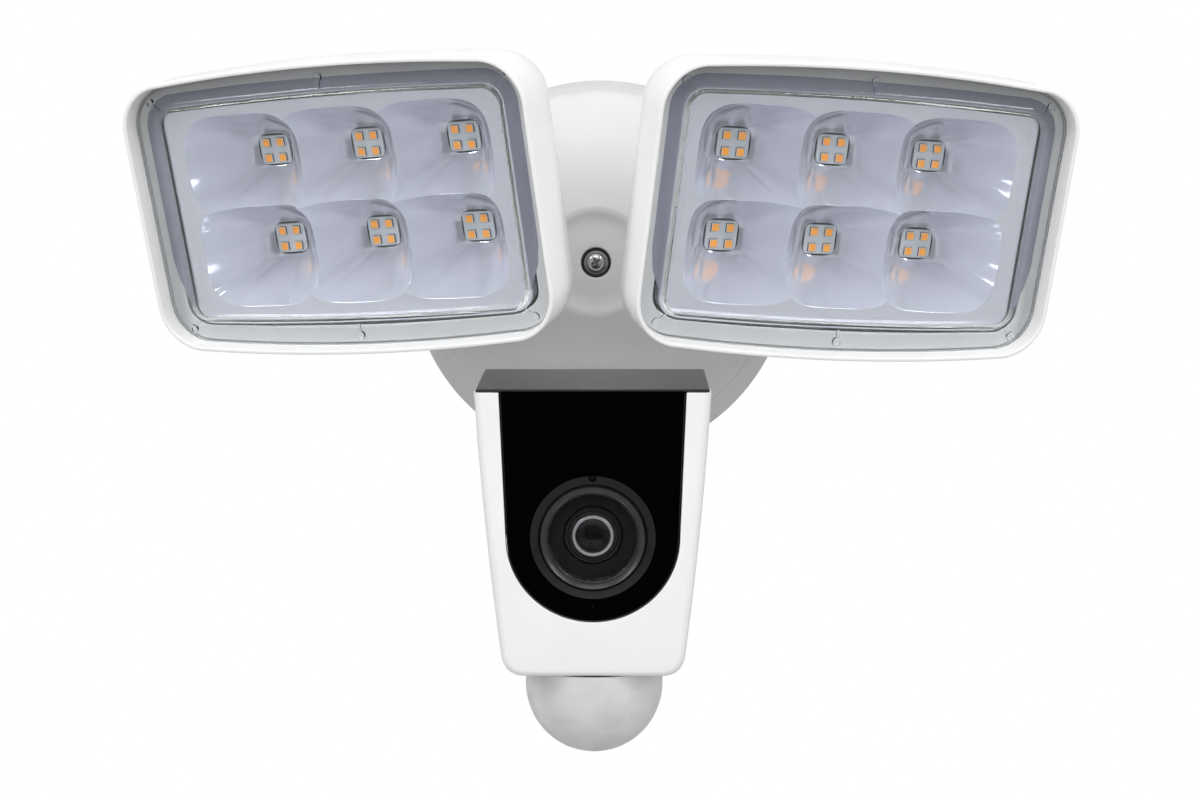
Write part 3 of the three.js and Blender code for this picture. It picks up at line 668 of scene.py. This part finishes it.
def painted_shade_sheet(name):
    """The reflector's turned-out edge under the cover's flange, at the top and the sides. Its dark lavender look
    is painted shade: it stands in for the shade that the lip casts into the flange.
    """
    z = FLANGE["back"] - 0.25
    inner = window_outline(-0.6)
    outer = window_outline(9.0)
    points = []
    faces = []
    kept = [i for i in range(len(inner)) if inner[i][1] > -28]
    for i in kept:
        share = min(1.0, max(0.0, (inner[i][1] + 28) / 10))
        reach = [a + (b - a) * share for a, b in zip(inner[i], outer[i])]
        points += [(*inner[i], z), (*reach, z), (*reach, z - 0.15), (*inner[i], z - 0.15)]
    for a in range(0, len(points) - 4, 4):
        b = a + 4
        faces += [(a + k, a + (k + 1) % 4, b + (k + 1) % 4, b + k) for k in range(4)]
    last = len(points) - 4
    faces += [(0, 1, 2, 3), (last, last + 1, last + 2, last + 3)]
    return mesh_object(name, points, faces)


POSTS = [(column * POST["x"], side * (POST["y"] if column else POST["middle_y"]))
         for column in (-1, 0, 1) for side in (-1, 1)]


def head_lens(name):
    front = WINDOW["front"]
    step = FLANGE["front"]
    back = FLANGE["back"]
    edge = HEAD["lip"] + GAP
    bevel = 2 * WINDOW["bevel"]
    rings = [
        at_depth(window_outline(-1.0), front),
        at_depth(window_outline(-0.2), front - 0.1),
        at_depth(window_outline(0.3), front - 0.35),
        at_depth(window_outline(bevel - 0.9), step + 0.3),
        at_depth(window_outline(bevel), step),
        at_depth(head_outline(edge + 0.3), step),
        at_depth(head_outline(edge), step - 0.3),
        at_depth(head_outline(edge), back),
        at_depth(window_outline(0.4), back),
        at_depth(window_outline(-1.0), back + 0.3),
        at_depth(window_outline(-2.0), front - WINDOW["thick"]),
    ]
    lens = loft(name, rings)
    studs = []
    for x, y in POSTS:
        profile = [(0, back + 0.4), (1.45, back + 0.4), (1.45, step + 0.7), (1.25, step + 0.95),
                   (0.8, step + 0.95), (0.55, step + 0.5), (0, step + 0.45)]
        studs.append(lathe(f"{name}_stud", profile, 24, (x, y, 0)))
        if x == 0:
            toward = Vector((0, -y, 0)).normalized()
        else:
            toward = Vector((-math.copysign(1, x), -math.copysign(1, y), 0)).normalized()
        start = Vector((x, y, 0)) + 1.2 * toward
        end = Vector((x, y, 0)) + 3.6 * toward
        side = Vector((-toward.y, toward.x, 0)) * 0.4
        rib = [start + side, start - side, end - side, end + side]
        corners = [(p.x, p.y, z) for p in rib for z in (step - 0.3, step + 0.4)]
        studs.append(hull(f"{name}_rib", corners))
    return join(lens, *studs)


def dish_size(s):
    """Half width and half height of a dish, s being 0 at its back and 1 at its front."""
    back_x, back_y = DISH["back_x"], DISH["back_y"]
    return back_x + (DISH["half_width"] - back_x) * s, back_y + (DISH["half_height"] - back_y) * s


def dish_reach(limit, back, front, share):
    """Where a ray of the dish meets the line to the next dish."""
    if share < 1e-9:
        return 9.0
    return (limit / share - back) / (front - back)


def dish_angles(right_open, up_open):
    """Ray angles of one quarter of a dish, with rays through the points where its edge changes."""
    power = DISH["square"]
    half_x = DISH["pitch_x"] / 2
    half_y = DISH["pitch_y"] / 2
    marks = [0.0, math.pi / 2]
    if not right_open:
        marks.append(math.acos((half_x / DISH["half_width"]) ** (power / 2)))
    if not up_open:
        marks.append(math.asin((half_y / DISH["half_height"]) ** (power / 2)))
    marks.sort()
    angles = []
    for low, high in zip(marks, marks[1:]):
        steps = max(2, round((high - low) / math.radians(2.6)))
        angles += [low + (high - low) * i / steps for i in range(steps)]
    return angles


def dish_rays(column, row):
    """Directions round one dish, as (x share, y share, reach)."""
    power = DISH["square"]
    rays = []
    for quarter, (sign_x, sign_y) in enumerate(((1, 1), (-1, 1), (-1, -1), (1, -1))):
        open_x = column + sign_x not in (-1, 0, 1)
        open_y = row + sign_y not in (0, 1)
        angles = dish_angles(open_x, open_y)
        if quarter % 2:
            angles = sorted({round(a, 9) for a in [*angles, math.pi / 2]}, reverse=True)[:-1]
        for angle in angles:
            share_x = math.cos(angle) ** (2 / power) if angle < math.pi / 2 - 1e-9 else 0.0
            share_y = math.sin(angle) ** (2 / power) if angle > 1e-9 else 0.0
            reach = 1.0
            if not open_x:
                limit = dish_reach(DISH["pitch_x"] / 2, DISH["back_x"], DISH["half_width"], share_x)
                reach = min(reach, limit)
            if not open_y:
                limit = dish_reach(DISH["pitch_y"] / 2, DISH["back_y"], DISH["half_height"], share_y)
                reach = min(reach, limit)
            rays.append((sign_x * share_x, sign_y * share_y, reach))
    return rays


def outline_hit(points, direction):
    """Where a ray from the centre leaves a closed outline."""
    for (ax, ay), (bx, by) in zip(points, points[1:] + points[:1]):
        ex, ey = bx - ax, by - ay
        det = direction[0] * ey - direction[1] * ex
        if abs(det) < 1e-12:
            continue
        t = (ax * ey - ay * ex) / det
        u = (ax * direction[1] - ay * direction[0]) / det
        if t > 0 and -1e-9 <= u <= 1 + 1e-9:
            return (direction[0] * t, direction[1] * t)
    raise ValueError("the outline has no point in this direction")


def reflector(name):
    """Six dishes that run into each other along ridges, in a flat rim with a turned-down edge."""
    steps = 16
    depth = DISH["front"] - DISH["back"]
    points = []
    faces = []
    rim = set()
    for column in (-1, 0, 1):
        for row in (0, 1):
            center = (column * DISH["pitch_x"], (row - 0.5) * DISH["pitch_y"])
            rays = dish_rays(column, row)
            start = len(points)
            for share_x, share_y, reach in rays:
                for step in range(steps + 1):
                    s = reach * step / steps
                    half_x, half_y = dish_size(s)
                    height = DISH["back"] + depth * s ** DISH["curve"]
                    spot = (center[0] + share_x * half_x, center[1] + share_y * half_y, height)
                    points.append(spot)
                if reach >= 1:
                    rim.add((round(spot[0], 4), round(spot[1], 4)))
            ring = steps + 1
            for i in range(len(rays)):
                a = start + i * ring
                b = start + (i + 1) % len(rays) * ring
                faces += [(a + k, b + k, b + k + 1, a + k + 1) for k in range(steps)]
    corner = (DISH["pitch_x"] / 2, 0.0)
    outer_rim = [p for p in rim if math.hypot(abs(p[0]) - corner[0], p[1] - corner[1]) > 1.5]
    outer_rim.sort(key=lambda p: math.atan2(p[1], p[0]))
    edge = outline(REFLECTOR["width"], REFLECTOR["height"], REFLECTOR["corner"], REFLECTOR["bow"])
    drops = (0.0, -4.0)
    start = len(points)
    for x, y in outer_rim:
        points.append((x, y, DISH["front"]))
        hit = outline_hit(edge, (x, y))
        points += [(*hit, DISH["front"] + drop) for drop in drops]
    ring = len(drops) + 1
    for i in range(len(outer_rim)):
        a = start + i * ring
        b = start + (i + 1) % len(outer_rim) * ring
        faces += [(a + k, b + k, b + k + 1, a + k + 1) for k in range(ring - 1)]
    made = mesh_object(name, points, faces)
    with editing(made.data) as bm:
        bmesh.ops.remove_doubles(bm, verts=bm.verts, dist=2e-5)
        holes = [edge for edge in bm.edges if edge.is_boundary]
        bmesh.ops.holes_fill(bm, edges=holes, sides=40)
        bmesh.ops.recalc_face_normals(bm, faces=bm.faces)
        if sum(face.normal.z * face.calc_area() for face in bm.faces) < 0:
            bmesh.ops.reverse_faces(bm, faces=bm.faces)
    return made


LED_CENTERS = [
    (column * DISH["pitch_x"], (row - 0.5) * DISH["pitch_y"]) for column in (-1, 0, 1) for row in (0, 1)]
LED_SPOTS = [(x + i * LED["pitch"] / 2, y + j * LED["pitch"] / 2)
             for x, y in LED_CENTERS for i in (-1, 1) for j in (-1, 1)]
# Each layer's name, look, places, side lengths, corner radius, back and front above the board, and chamfer.
LED_LAYERS = [
    ("pads", "led_board", LED_CENTERS, LED["pad"], 1.3, 0, 0.7, 0.1),
    ("package_sides", "dark_side_and_gap_shade", LED_SPOTS, (LED["size"], LED["size"]), 0.15, 0.65, 1.3, 0.02),
    ("packages", "package", LED_SPOTS, (LED["size"] - 0.1, LED["size"] - 0.1), 0.15, 1.25, 1.37, 0.05),
    ("phosphors", "phosphor", LED_SPOTS, (LED["phosphor"], LED["phosphor"]), 0.2, 1.35, 1.43, 0.05),
]


def rounded_block(name, center, size, corner, low, high, chamfer):
    """A small block with round corners and a chamfered front edge."""
    def ring(inset, z):
        points = outline(size[0] - 2 * inset, size[1] - 2 * inset, corner, 0.0, 3, 1, 1)
        return [(center[0] + x, center[1] + y, z) for x, y in points]
    return loft(name, [ring(0, low), ring(0, high - chamfer), ring(chamfer, high)])


def build_leds(prefix, place, body):
    front = LED["board"]
    base = outline(106, 60, 4)
    board = loft(f"{prefix}_led_board_base", [at_depth(base, front - 1.6), at_depth(base, front)])
    # The board base is near black: painted shadow for the gap round the pads, where the reflector's back edge
    # shades the board.
    piece(board, place, body, "dark_side_and_gap_shade", [f"{prefix}_led_board"], "led_board", bevel=0.2)
    for name, look, centers, size, corner, low, high, chamfer in LED_LAYERS:
        blocks = [rounded_block(name, c, size, corner, front + low, front + high, chamfer) for c in centers]
        piece(merged(f"{prefix}_led_{name}", blocks), place, body, look, slot="led_board")


def build_head(prefix):
    aim = HEAD_AIM[prefix]
    arm, bracket, head = part_frames(
        prefix, math.radians(aim["pitch"]), math.radians(aim["roll"]), (0, 0, HEAD["behind_lip"]))
    body = f"{prefix}_head"
    build_knuckle(prefix, HEAD_ARM, arm, bracket, HEAD["behind_lip"] - HEAD["depth"] - GAP, body)
    for part, maker, look, finish in (
            ("housing", head_housing, "white_shell", {"crease": 50}),
            ("gasket", head_gasket, "silicone", {"bevel": 0.2}),
            ("lens", head_lens, "clear_cover", {"crease": 40}),
            ("reflector", reflector, "reflector", {"bevel": 0.45, "crease": 24})):
        piece(maker(f"{prefix}_head_{part}"), head, body, look, [f"{prefix}_{part}"], **finish)
    # A dark sheet under the flange's top and sides, as painted shade.
    piece(painted_shade_sheet(f"{prefix}_head_skirt"), head, body, "painted_shade_skirt", slot="reflector")
    build_leds(prefix, head, body)


# ---- camera ----

def camera_outline(inset):
    """The camera's outline below its top cover, made smaller at the sides and the bottom by inset."""
    top = CAMERA["shell_top"]
    side_end = CAMERA["side_end"]
    floor = CAMERA["bottom"] + inset
    top_x = CAMERA["top_half"] - inset
    low_x = CAMERA["bottom_half"] - inset
    bulge_x = (top_x + low_x) / 2 + CAMERA["bulge"]

    corner_x = CAMERA["corner_reach"] - low_x

    def bend(a, b, c, count):
        shares = [i / count for i in range(count)]
        return [tuple((1 - t) ** 2 * p + 2 * t * (1 - t) * q + t * t * r for p, q, r in zip(a, b, c))
                for t in shares]

    middle = (top + side_end) / 2
    left = bend((-top_x, top), (-bulge_x, middle), (-low_x, side_end), 28)
    left += bend((-low_x, side_end), (-low_x + 0.7, floor), (corner_x, floor), 14)
    base = [(corner_x - 2 * corner_x * i / 12, floor) for i in range(7)]
    half = left + base
    return half + [(-x, y) for x, y in reversed(half[:-1])]


def panel_outline(inset):
    half = CAMERA["panel_half"] - inset
    radius = CAMERA["panel_radius"] - inset
    top = CAMERA["shell_top"]
    side = [(half + (radius - half) * i / 12, top * (1 - i / 12)) for i in range(12)]
    bottom = arc((0, 0), radius, 0, -180, 64)
    return side + bottom + [(-x, y) for x, y in reversed(side)]


def camera_shell(name):
    depth = CAMERA["depth"]
    front = [
        (2.3, 0), (1.9, -0.06), (1.5, -0.22), (1.1, -0.5), (0.7, -0.95), (0.4, -1.5), (0.15, -2.2), (0, -3)]
    rear = [(1.2 * (1 - math.cos(a)), -depth + 1.2 * (1 - math.sin(a)))
            for a in [math.radians(15 * i) for i in range(7)]]
    rings = [at_depth(camera_outline(inset), z) for inset, z in [*front, *rear]]
    shell = loft(name, rings)
    wall = CAMERA["wall"]
    above = 20

    def carried_up(points, z):
        first, last = points[0], points[-1]
        lid = [(last[0], last[1] + above), (first[0], first[1] + above)]
        return at_depth([*points, *lid], z)

    cavity = loft(f"{name}_cavity", [
        carried_up(camera_outline(wall), -depth - 1), carried_up(camera_outline(wall), -3)])
    opening = loft(f"{name}_opening", [
        carried_up(panel_outline(-GAP), -4), carried_up(panel_outline(-GAP), 1)])
    sensor_hole = rod(f"{name}_hole", "y", (0, CAMERA["bottom"], -DOME["back"]), 8, 12)
    return cut(shell, cavity, opening, sensor_hole)


def face_panel(name):
    """The glossy panel, with a raised round shoulder that leads up to the lens."""
    panel = loft(name, [
        at_depth(panel_outline(inset), z) for inset, z in ((0, -2.9), (0, -0.35), (0.12, -0.1), (0.35, 0))])
    shoulder_profile = [(15, -1.5), (18.7, -1.5), (18.7, -0.02)]
    shoulder_profile += smooth_curve([
        (18.6, 0.0), (18.35, 0.12), (17.9, 0.37), (17.2, 0.72), (16.5, 1.0), (16.05, 1.12), (15.9, 1.08)], 5)
    shoulder_profile += [(15.88, 0.6), (15, 0.6)]
    shoulder = lathe(f"{name}_shoulder", shoulder_profile, 128)
    join(panel, shoulder)
    bore = rod(f"{name}_bore", "z", (0, 0, 0), CAMERA["bore"], 10, 128)
    upper_hole = [(0, -5), (1.2, -5), (1.2, -0.3), (1.5, 1), (0, 1)]
    lower_hole = [(0, -5), (0.8, -5), (0.8, -0.2), (1.0, 1), (0, 1)]
    upper = lathe(f"{name}_upper", upper_hole, 32, (0, 18.5, 0))
    lower = lathe(f"{name}_lower", lower_hole, 32, (0, -21.3, 0))
    return cut(panel, bore, upper, lower)


def top_cover(name):
    inset = CAMERA["cover_inset"]
    half = CAMERA["top_half"] - inset
    return box(name, (-half, CAMERA["shell_top"] + 0.1, -CAMERA["depth"]), (half, CAMERA["top"], -inset))


def back_cover(name):
    depth = CAMERA["depth"]
    inset = CAMERA["wall"] + GAP
    cover = loft(name, [
        at_depth(camera_outline(inset + 0.5), -depth), at_depth(camera_outline(inset), -depth + 0.5),
        at_depth(camera_outline(inset), -depth + 2.4)])
    slot = outline(12, 1.4, 0.68, 0.0, 6, 4, 1)
    slots = []
    for offset in (-6, -3, 0, 3, 6):
        moved = [(x, y + SPEAKER_HEIGHT + offset) for x, y in slot]
        slots.append(loft(f"{name}_slot", [at_depth(moved, -depth - 1), at_depth(moved, -depth + 4)]))
    button = (RESET_BUTTON["x"], RESET_BUTTON["y"], -depth)
    button_hole = rod(f"{name}_button", "z", button, RESET_BUTTON["radius"] + GAP, 10)
    return cut(cover, button_hole, *slots)


def sensor_dome(name):
    """A collar and half a sphere whose skin is pressed into rows of shallow lenses."""
    radius = DOME["radius"]
    inner = radius - DOME["wall"]
    rows, columns, lost_per_row = 4, 22, 5
    relief = 0.10
    across, down, inner_down = 220, 72, 24
    center_y = CAMERA["bottom"] - DOME["drop"]
    collar = DOME["drop"] - 0.05

    def spot(r, height, i):
        turn = 2 * math.pi * i / across
        return (r * math.sin(turn), center_y + height, r * math.cos(turn) - DOME["back"])

    def ring(r, height):
        return [spot(r, height, i) for i in range(across)]

    rings = [ring(radius, height) for height in (collar, 4.6, 3.0, 1.5)]
    for step in range(down):
        angle = step / down * math.pi / 2
        row = angle / (math.pi / 2) * rows
        cells = max(6, columns - lost_per_row * int(row))
        points = []
        for i in range(across):
            column = i / across * cells + 0.5 * (int(row) % 2)
            cell = abs(math.sin(math.pi * row) * math.sin(math.pi * column)) ** 0.6
            pressed = radius - relief * (1 - cell) * math.sin(min(1, 4 * angle) * math.pi / 2)
            points.append(spot(pressed * math.cos(angle), -pressed * math.sin(angle), i))
        rings.append(points)
    rings += [ring(0, relief - radius), ring(0, -inner)]
    for step in range(inner_down - 1, -1, -1):
        angle = step / inner_down * math.pi / 2
        rings.append(ring(inner * math.cos(angle), -inner * math.sin(angle)))
    rings.append(ring(inner, collar))
    return loft(name, rings, "joined")


def reset_button(name):
    back = -CAMERA["depth"] - 1
    radius = RESET_BUTTON["radius"]
    return lathe(name, [
        (0, back + 0.15), (1.2, back), (2.1, back + 0.1), (radius, back + 0.5), (radius, back + 3.9),
        (3.7, back + 3.9), (3.7, back + 5.5), (radius, back + 5.6), (0, back + 5.6)], 48,
        (RESET_BUTTON["x"], RESET_BUTTON["y"], 0))


def speaker(name):
    """A small loudspeaker: a frame with a ribbed cone facing the slots, and its magnet."""
    back = -CAMERA["depth"] + 3
    cone = [(0, back + 1.6), (3.2, back + 0.9), (3.6, back + 1.5), (8.2, back + 0.7), (8.8, back + 0.3),
            (9.6, back + 0.7), (10.0, back), (11, back), (11, back + 3.6), (6, back + 3.6), (6, back + 6.6),
            (0, back + 6.6)]
    return lathe(name, cone, 64, (0, SPEAKER_HEIGHT, 0))


LENS_BULB = [(4.9 * math.sin(a), -4.9 + 1.4 * math.cos(a)) for a in map(math.radians, range(84, -1, -6))]
# Each turned part of the lens: its name, look, CAD nodes, slot, crease, sides and profile.
LENS_STACK = [
    ("bezel", "ring_black", ["lens_bezel"], "gloss_black", 32, 160, [
        (13.3, -5.3), (18, -5.3), (18, -3.2), (15.6, -3.2), (15.6, 0.75), (15.5, 0.95), (15.3, 0.98),
        (15.15, 0.8), (13.95, 0.3), (13.8, 0.42), (13.6, 0.4), (13.4, 0.1), (13.3, -0.3)]),
    ("window", "lens_glass", ["lens_window"], None, 30, 128, [
        (0, -1.4), (13.2, -1.4), (13.2, -0.4), (13.0, -0.2), (0, -0.2)]),
    ("barrel", "matte_black", ["lens_barrel"], None, 25, 96, [
        (0, -22), (8.6, -22), (8.6, -4.2), (8.3, -3.9), (8.3, -3.4), (8.0, -3.2), (7.7, -3.2), (7.5, -3.6),
        (7.3, -3.3), (6.4, -3.1), (6.3, -3.9), (5.2, -4.6), (5.2, -8), (0, -8)]),
    ("ring", "ring_metal", [], "aluminium", 25, 96, [
        (5.25, -3.2), (6.2, -3.2), (6.2, -2.6), (6.0, -2.4), (5.35, -2.6)]),
    ("face", "lens_face", [], "matte_black", 25, 96, [(8.9, -5.2), (13.4, -5.2), (13.4, -4.6), (8.9, -4.3)]),
    ("element", "lens_glass", ["lens_element"], None, 30, 64, [
        (0, -7.6), (4.9, -7.6), (4.9, -4.95), *LENS_BULB]),
    ("iris", "ring_black", [], "matte_black", 25, 64, [
        (0.9, -7.9), (4.8, -7.9), (4.8, -7.7), (2.5, -7.7), (2.35, -7.62), (2.2, -7.7), (0.9, -7.75)]),
]


def build_camera():
    arm, bracket, camera = part_frames(
        "camera", math.radians(CAMERA["pitch"]), 0.0, (0, -CAMERA["up"], CAMERA["behind"]))
    body = "camera"
    build_knuckle("camera", CAMERA_ARM, arm, bracket, CAMERA["behind"] - CAMERA["depth"] - GAP, body)
    for name, maker, look, node, finish in (
            ("body_shell", camera_shell, "white_shell", "camera_shell", {"bevel": 0.25, "crease": 40}),
            ("front_panel", face_panel, "gloss_black", "camera_face_panel", {"crease": 11}),
            ("top_plate", top_cover, "top_grey", "camera_top_cover", {"bevel": 0.45, "crease": 40}),
            ("rear_cover", back_cover, "white_shell", "camera_back_cover", {"bevel": 0.15, "crease": 40}),
            ("sensor_dome", sensor_dome, "sensor_dome", "motion_sensor_dome", {"crease": 40})):
        piece(maker(f"camera_{name}"), camera, body, look, [node], **finish)
    for name, look, nodes, slot, crease, sides, profile in LENS_STACK:
        turned = lathe(f"camera_lens_{name}", profile, sides)
        piece(turned, camera, body, look, nodes, slot, crease=crease)
    piece(speaker("camera_loudspeaker"), camera, body, "matte_black", ["speaker"], crease=30)
    button = reset_button("camera_reset_button")
    piece(button, camera, "reset_button", "matte_black", ["reset_button"], crease=30)


# ---- canopy ----

def stem_holes(name):
    holes = []
    for prefix in ("left", "right", "camera"):
        low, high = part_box(f"{prefix}_stem_nut")
        center = (low + high) / 2 / MM
        holes.append(rod(f"{name}_{prefix}", "z", (center.x, center.z, 30), STEM_RADIUS + GAP, 40))
    return holes


def canopy_front(name):
    seam = CANOPY["seam"]
    outside = [(CANOPY["seam_radius"] - 0.3, seam + 0.8), (CANOPY["seam_radius"], seam + 1.1)]
    outside += smooth_curve([
        (58.7, 23.6), (57.6, 26.4), (55.4, 29), (50.5, 32.2), (41, 36), (29, 39), (19.5, 40.4), (17.6, 40.55),
        (16.2, 40.2), (14.4, 39.3), (12.2, 38.7), (9.5, 38.5), (6.0, 38.4)], 5)
    outside += [(5.3, 38.35), (5.0, 38.2), (4.9, 37.9)]
    inside = [
        (4.9, 36.4), (2.6, 36.4), (2.6, 33.6), (10, 33.6), (15, 36.2), (29, 36.3), (40, 33.4), (49, 29.6),
        (53.6, 26.6), (55.8, seam + 0.8)]
    return cut(lathe(name, [*outside, *inside], 160), *stem_holes(name))


def canopy_base(name):
    seam = CANOPY["seam"]
    return lathe(name, [
        (64.6, 2.6), (65, 3.0), (64.9, 3.6), (59.3, seam - 0.9), (59.0, seam - 0.4), (58.6, seam - 0.3),
        (56.3, seam - 0.3), (62, 5.2), (57, 5.2), (57, 2.6)], 160)


def phillips_screw(name):
    head = [(0, 16), (1.4, 16), (2, 18), (2, 37.9), (2.9, 37.9), (2.9, 38.9), (2.75, 39.4), (2.4, 39.8),
            (1.8, 40.1), (1.0, 40.25), (0, 40.3)]
    screw = lathe(name, head, 64)
    blades = []
    for turn in (28, 118):
        c, s = math.cos(math.radians(turn)), math.sin(math.radians(turn))
        points = []
        for half, wide, z in ((1.75, 0.42, 40.6), (0.75, 0.3, 38.8)):
            for a, b in ((-half, -wide), (-half, wide), (half, -wide), (half, wide)):
                points.append((a * c - b * s, a * s + b * c, z))
        blades.append(hull(f"{name}_blade", points))
    return cut(screw, *blades)


def mounting_plate(name):
    """A pressed plate with rolled edges, two slots for the box's screws, a wire hole and a threaded boss."""
    plate = lathe(name, [(0, 0), (51.6, 0), (52, 0.4), (52, 2.6), (51.6, 3), (0, 3)], 128)
    boss = lathe(f"{name}_boss", [
        (0, 0.5), (8.2, 0.5), (8.2, 3.2), (7.2, 4.2), (7, 5), (7, 32.5), (6.5, 32.8), (0, 32.8)], 64)
    slot = outline(9, 5, 2.48, 0.0, 8, 4, 1)
    tools = []
    for offset in (-42.5, 42.5):
        tools.append(loft(f"{name}_slot", [[(x + offset, y, z) for x, y in slot] for z in (-1, 4)]))
    thread = [(0, -2)] + [(2.4 - 0.25 * (i % 2), -1.5 + 0.5 * i) for i in range(74)] + [(0, 36)]
    tools.append(lathe(f"{name}_thread", thread, 32))
    tools.append(rod(f"{name}_wire_hole", "z", (0, 26, 0), 9, 12, 64))
    return cut(join(plate, boss), *tools)


def wall_gasket(name):
    lips = [
        (57, 0.2), (57.2, 0), (58.6, 0), (59, 0.5), (59.4, 0), (61.8, 0), (62.2, 0.5), (62.6, 0), (64.1, 0),
        (64.3, 0.2), (64.3, 2.2), (64.1, 2.4), (57.2, 2.4), (57, 2.2)]
    return lathe(name, lips, 160)


SEAM_SEAL = [(56.2, 21.9), (58.3, 21.9), (58.5, 22.25), (58.3, 22.6), (56.2, 22.6)]
WASHER = [(2.3, 36.6), (3.9, 36.6), (3.9, 37.5), (3.7, 37.7), (3.0, 37.35), (2.3, 37.3)]
SCREW_SEAL = [(3.95, 36.5), (4.8, 36.5), (4.85, 37.2), (4.6, 37.5), (4.2, 37.4), (3.95, 37.1)]


def build_canopy():
    for obj, look, nodes, finish in (
            (mounting_plate("wall_plate"), "steel", ["mounting_plate"], {"bevel": 0.2}),
            (wall_gasket("wall_seal"), "rubber", ["wall_gasket"], {"crease": 40}),
            (canopy_front("canopy_front_dome"), "canopy_grey", ["canopy_front"], {"crease": 40}),
            (canopy_base("canopy_base_ring"), "canopy_grey", ["canopy_base"], {"crease": 40}),
            (lathe("canopy_seam_seal", SEAM_SEAL, 128), "rubber", ["seam_gasket"], {"crease": 40}),
            (phillips_screw("canopy_screw"), "steel", ["center_screw"], {"bevel": 0.08, "crease": 40}),
            (lathe("canopy_washer", WASHER, 64), "aluminium", ["screw_washer"],
             {"slot": "steel", "crease": 30}),
            (lathe("canopy_screw_seal", SCREW_SEAL, 64), "rubber", [], {"crease": 30})):
        piece(obj, CANOPY_FRAME, "canopy", look, nodes, **finish)


# ---- CAD nodes that keep their shape ----

def dress_cad_nodes():
    slots = {row["node"]: row["material_slot"] for row in frame["record"]["subparts"]}
    for name, node in frame["nodes"].items():
        node.data.materials.clear()
        node.data.materials.append(LOOKS[slots[name]])
        if not node.hide_render:
            rounding = node.modifiers.new("round_edges", "BEVEL")
            rounding.width = 0.25 * MM
            rounding.segments = 2
            rounding.limit_method = "ANGLE"
            rounding.angle_limit = math.radians(40)


# ---- studio: lamps and the view in metres, the floor in millimetres ----

VIEW = {"point": (0.0232, -0.6876, -0.0449), "turn": 1.93, "lens": 59.76, "sensor": 36}
FLOOR_HALF = 2500
FLOOR_HEIGHT = -1500
SCREEN = {"direction": (0.02, -0.95, -0.31), "inner": 24, "outer": 38, "around": 0.47, "dark": 0.0}


def build_camera_view():
    data = bpy.data.cameras.new("view")
    data.lens = VIEW["lens"]
    data.sensor_width = VIEW["sensor"]
    data.clip_start = 0.01
    view = linked_object("view", data)
    view.location = VIEW["point"]
    view.rotation_euler = (math.radians(90), 0, math.radians(VIEW["turn"]))
    bpy.context.scene.camera = view


def add_light(name, location, size, power, in_gloss=True):
    """A softbox aimed at the object. A fill light doesn't show in gloss or through glass."""
    data = bpy.data.lights.new(name, "AREA")
    data.shape = "RECTANGLE"
    data.size = size[0]
    data.size_y = size[1]
    data.energy = power
    lamp = linked_object(name, data)
    lamp.location = location
    direction = Vector((0, -0.05, 0)) - Vector(location)
    lamp.rotation_euler = direction.to_track_quat("-Z", "Y").to_euler()
    lamp.visible_glossy = in_gloss
    lamp.visible_transmission = in_gloss


def build_world():
    """White all round, with a dark screen low in front that keeps the glossy panel black."""
    world = bpy.data.worlds.new("studio")
    bpy.context.scene.world = world
    world.use_nodes = True
    tree = world.node_tree
    white = (1, 1, 1, 1)
    direction = tree.nodes.new("ShaderNodeTexCoord").outputs["Generated"]
    toward = tree.nodes.new("ShaderNodeVectorMath")
    toward.operation = "DOT_PRODUCT"
    toward.inputs[1].default_value = SCREEN["direction"]
    tree.links.new(direction, toward.inputs[0])
    shade = add_node(
        tree, "ShaderNodeMapRange", Value=toward.outputs["Value"],
        To_Min=SCREEN["around"], To_Max=SCREEN["dark"],
        From_Min=math.cos(math.radians(SCREEN["outer"])), From_Max=math.cos(math.radians(SCREEN["inner"])))
    shade.interpolation_type = "SMOOTHSTEP"
    lit = tree.nodes["Background"]
    lit.inputs["Color"].default_value = white
    tree.links.new(shade.outputs["Result"], lit.inputs["Strength"])
    seen = add_node(tree, "ShaderNodeBackground", Color=white, Strength=1.0)
    mix_by_ray(tree, "Is Camera Ray", lit.outputs["Background"], seen.outputs["Background"],
               tree.nodes["World Output"].inputs["Surface"])


def build_studio():
    build_camera_view()
    build_world()
    add_light("top_softbox", (0, -0.2, 1.4), (1.2, 0.6), 2.6)
    add_light("key_softbox", (0, -1.15, 1.15), (1.0, 0.6), 4.5)
    add_light("left_strip", (-1.05, -0.85, 0.70), (0.22, 0.95), 7)
    add_light("right_strip", (1.05, -0.85, 0.70), (0.22, 0.95), 7)
    add_light("front_fill", (0, -1.3, 0.1), (1.0, 0.6), 5, in_gloss=False)
    add_light("low_fill", (0, -0.9, -1.2), (1.2, 0.5), 1.5, in_gloss=False)
    floor_material = surfaced("floor", grey(0.78), grey(0.8), (0.6, 0.7), 20, 0.1, 300)
    square = ((-1, -1), (1, -1), (1, 1), (-1, 1))
    corners = [(FLOOR_HALF * x, FLOOR_HALF * y, FLOOR_HEIGHT) for x, y in square]
    floor = mesh_object("floor", corners, [(0, 1, 2, 3)])
    floor.data.materials.append(floor_material)
    bpy.context.scene.view_settings.view_transform = "Standard"


build_studio()
build_canopy()
for side in HEAD_AIM:
    build_head(side)
build_camera()
dress_cad_nodes()
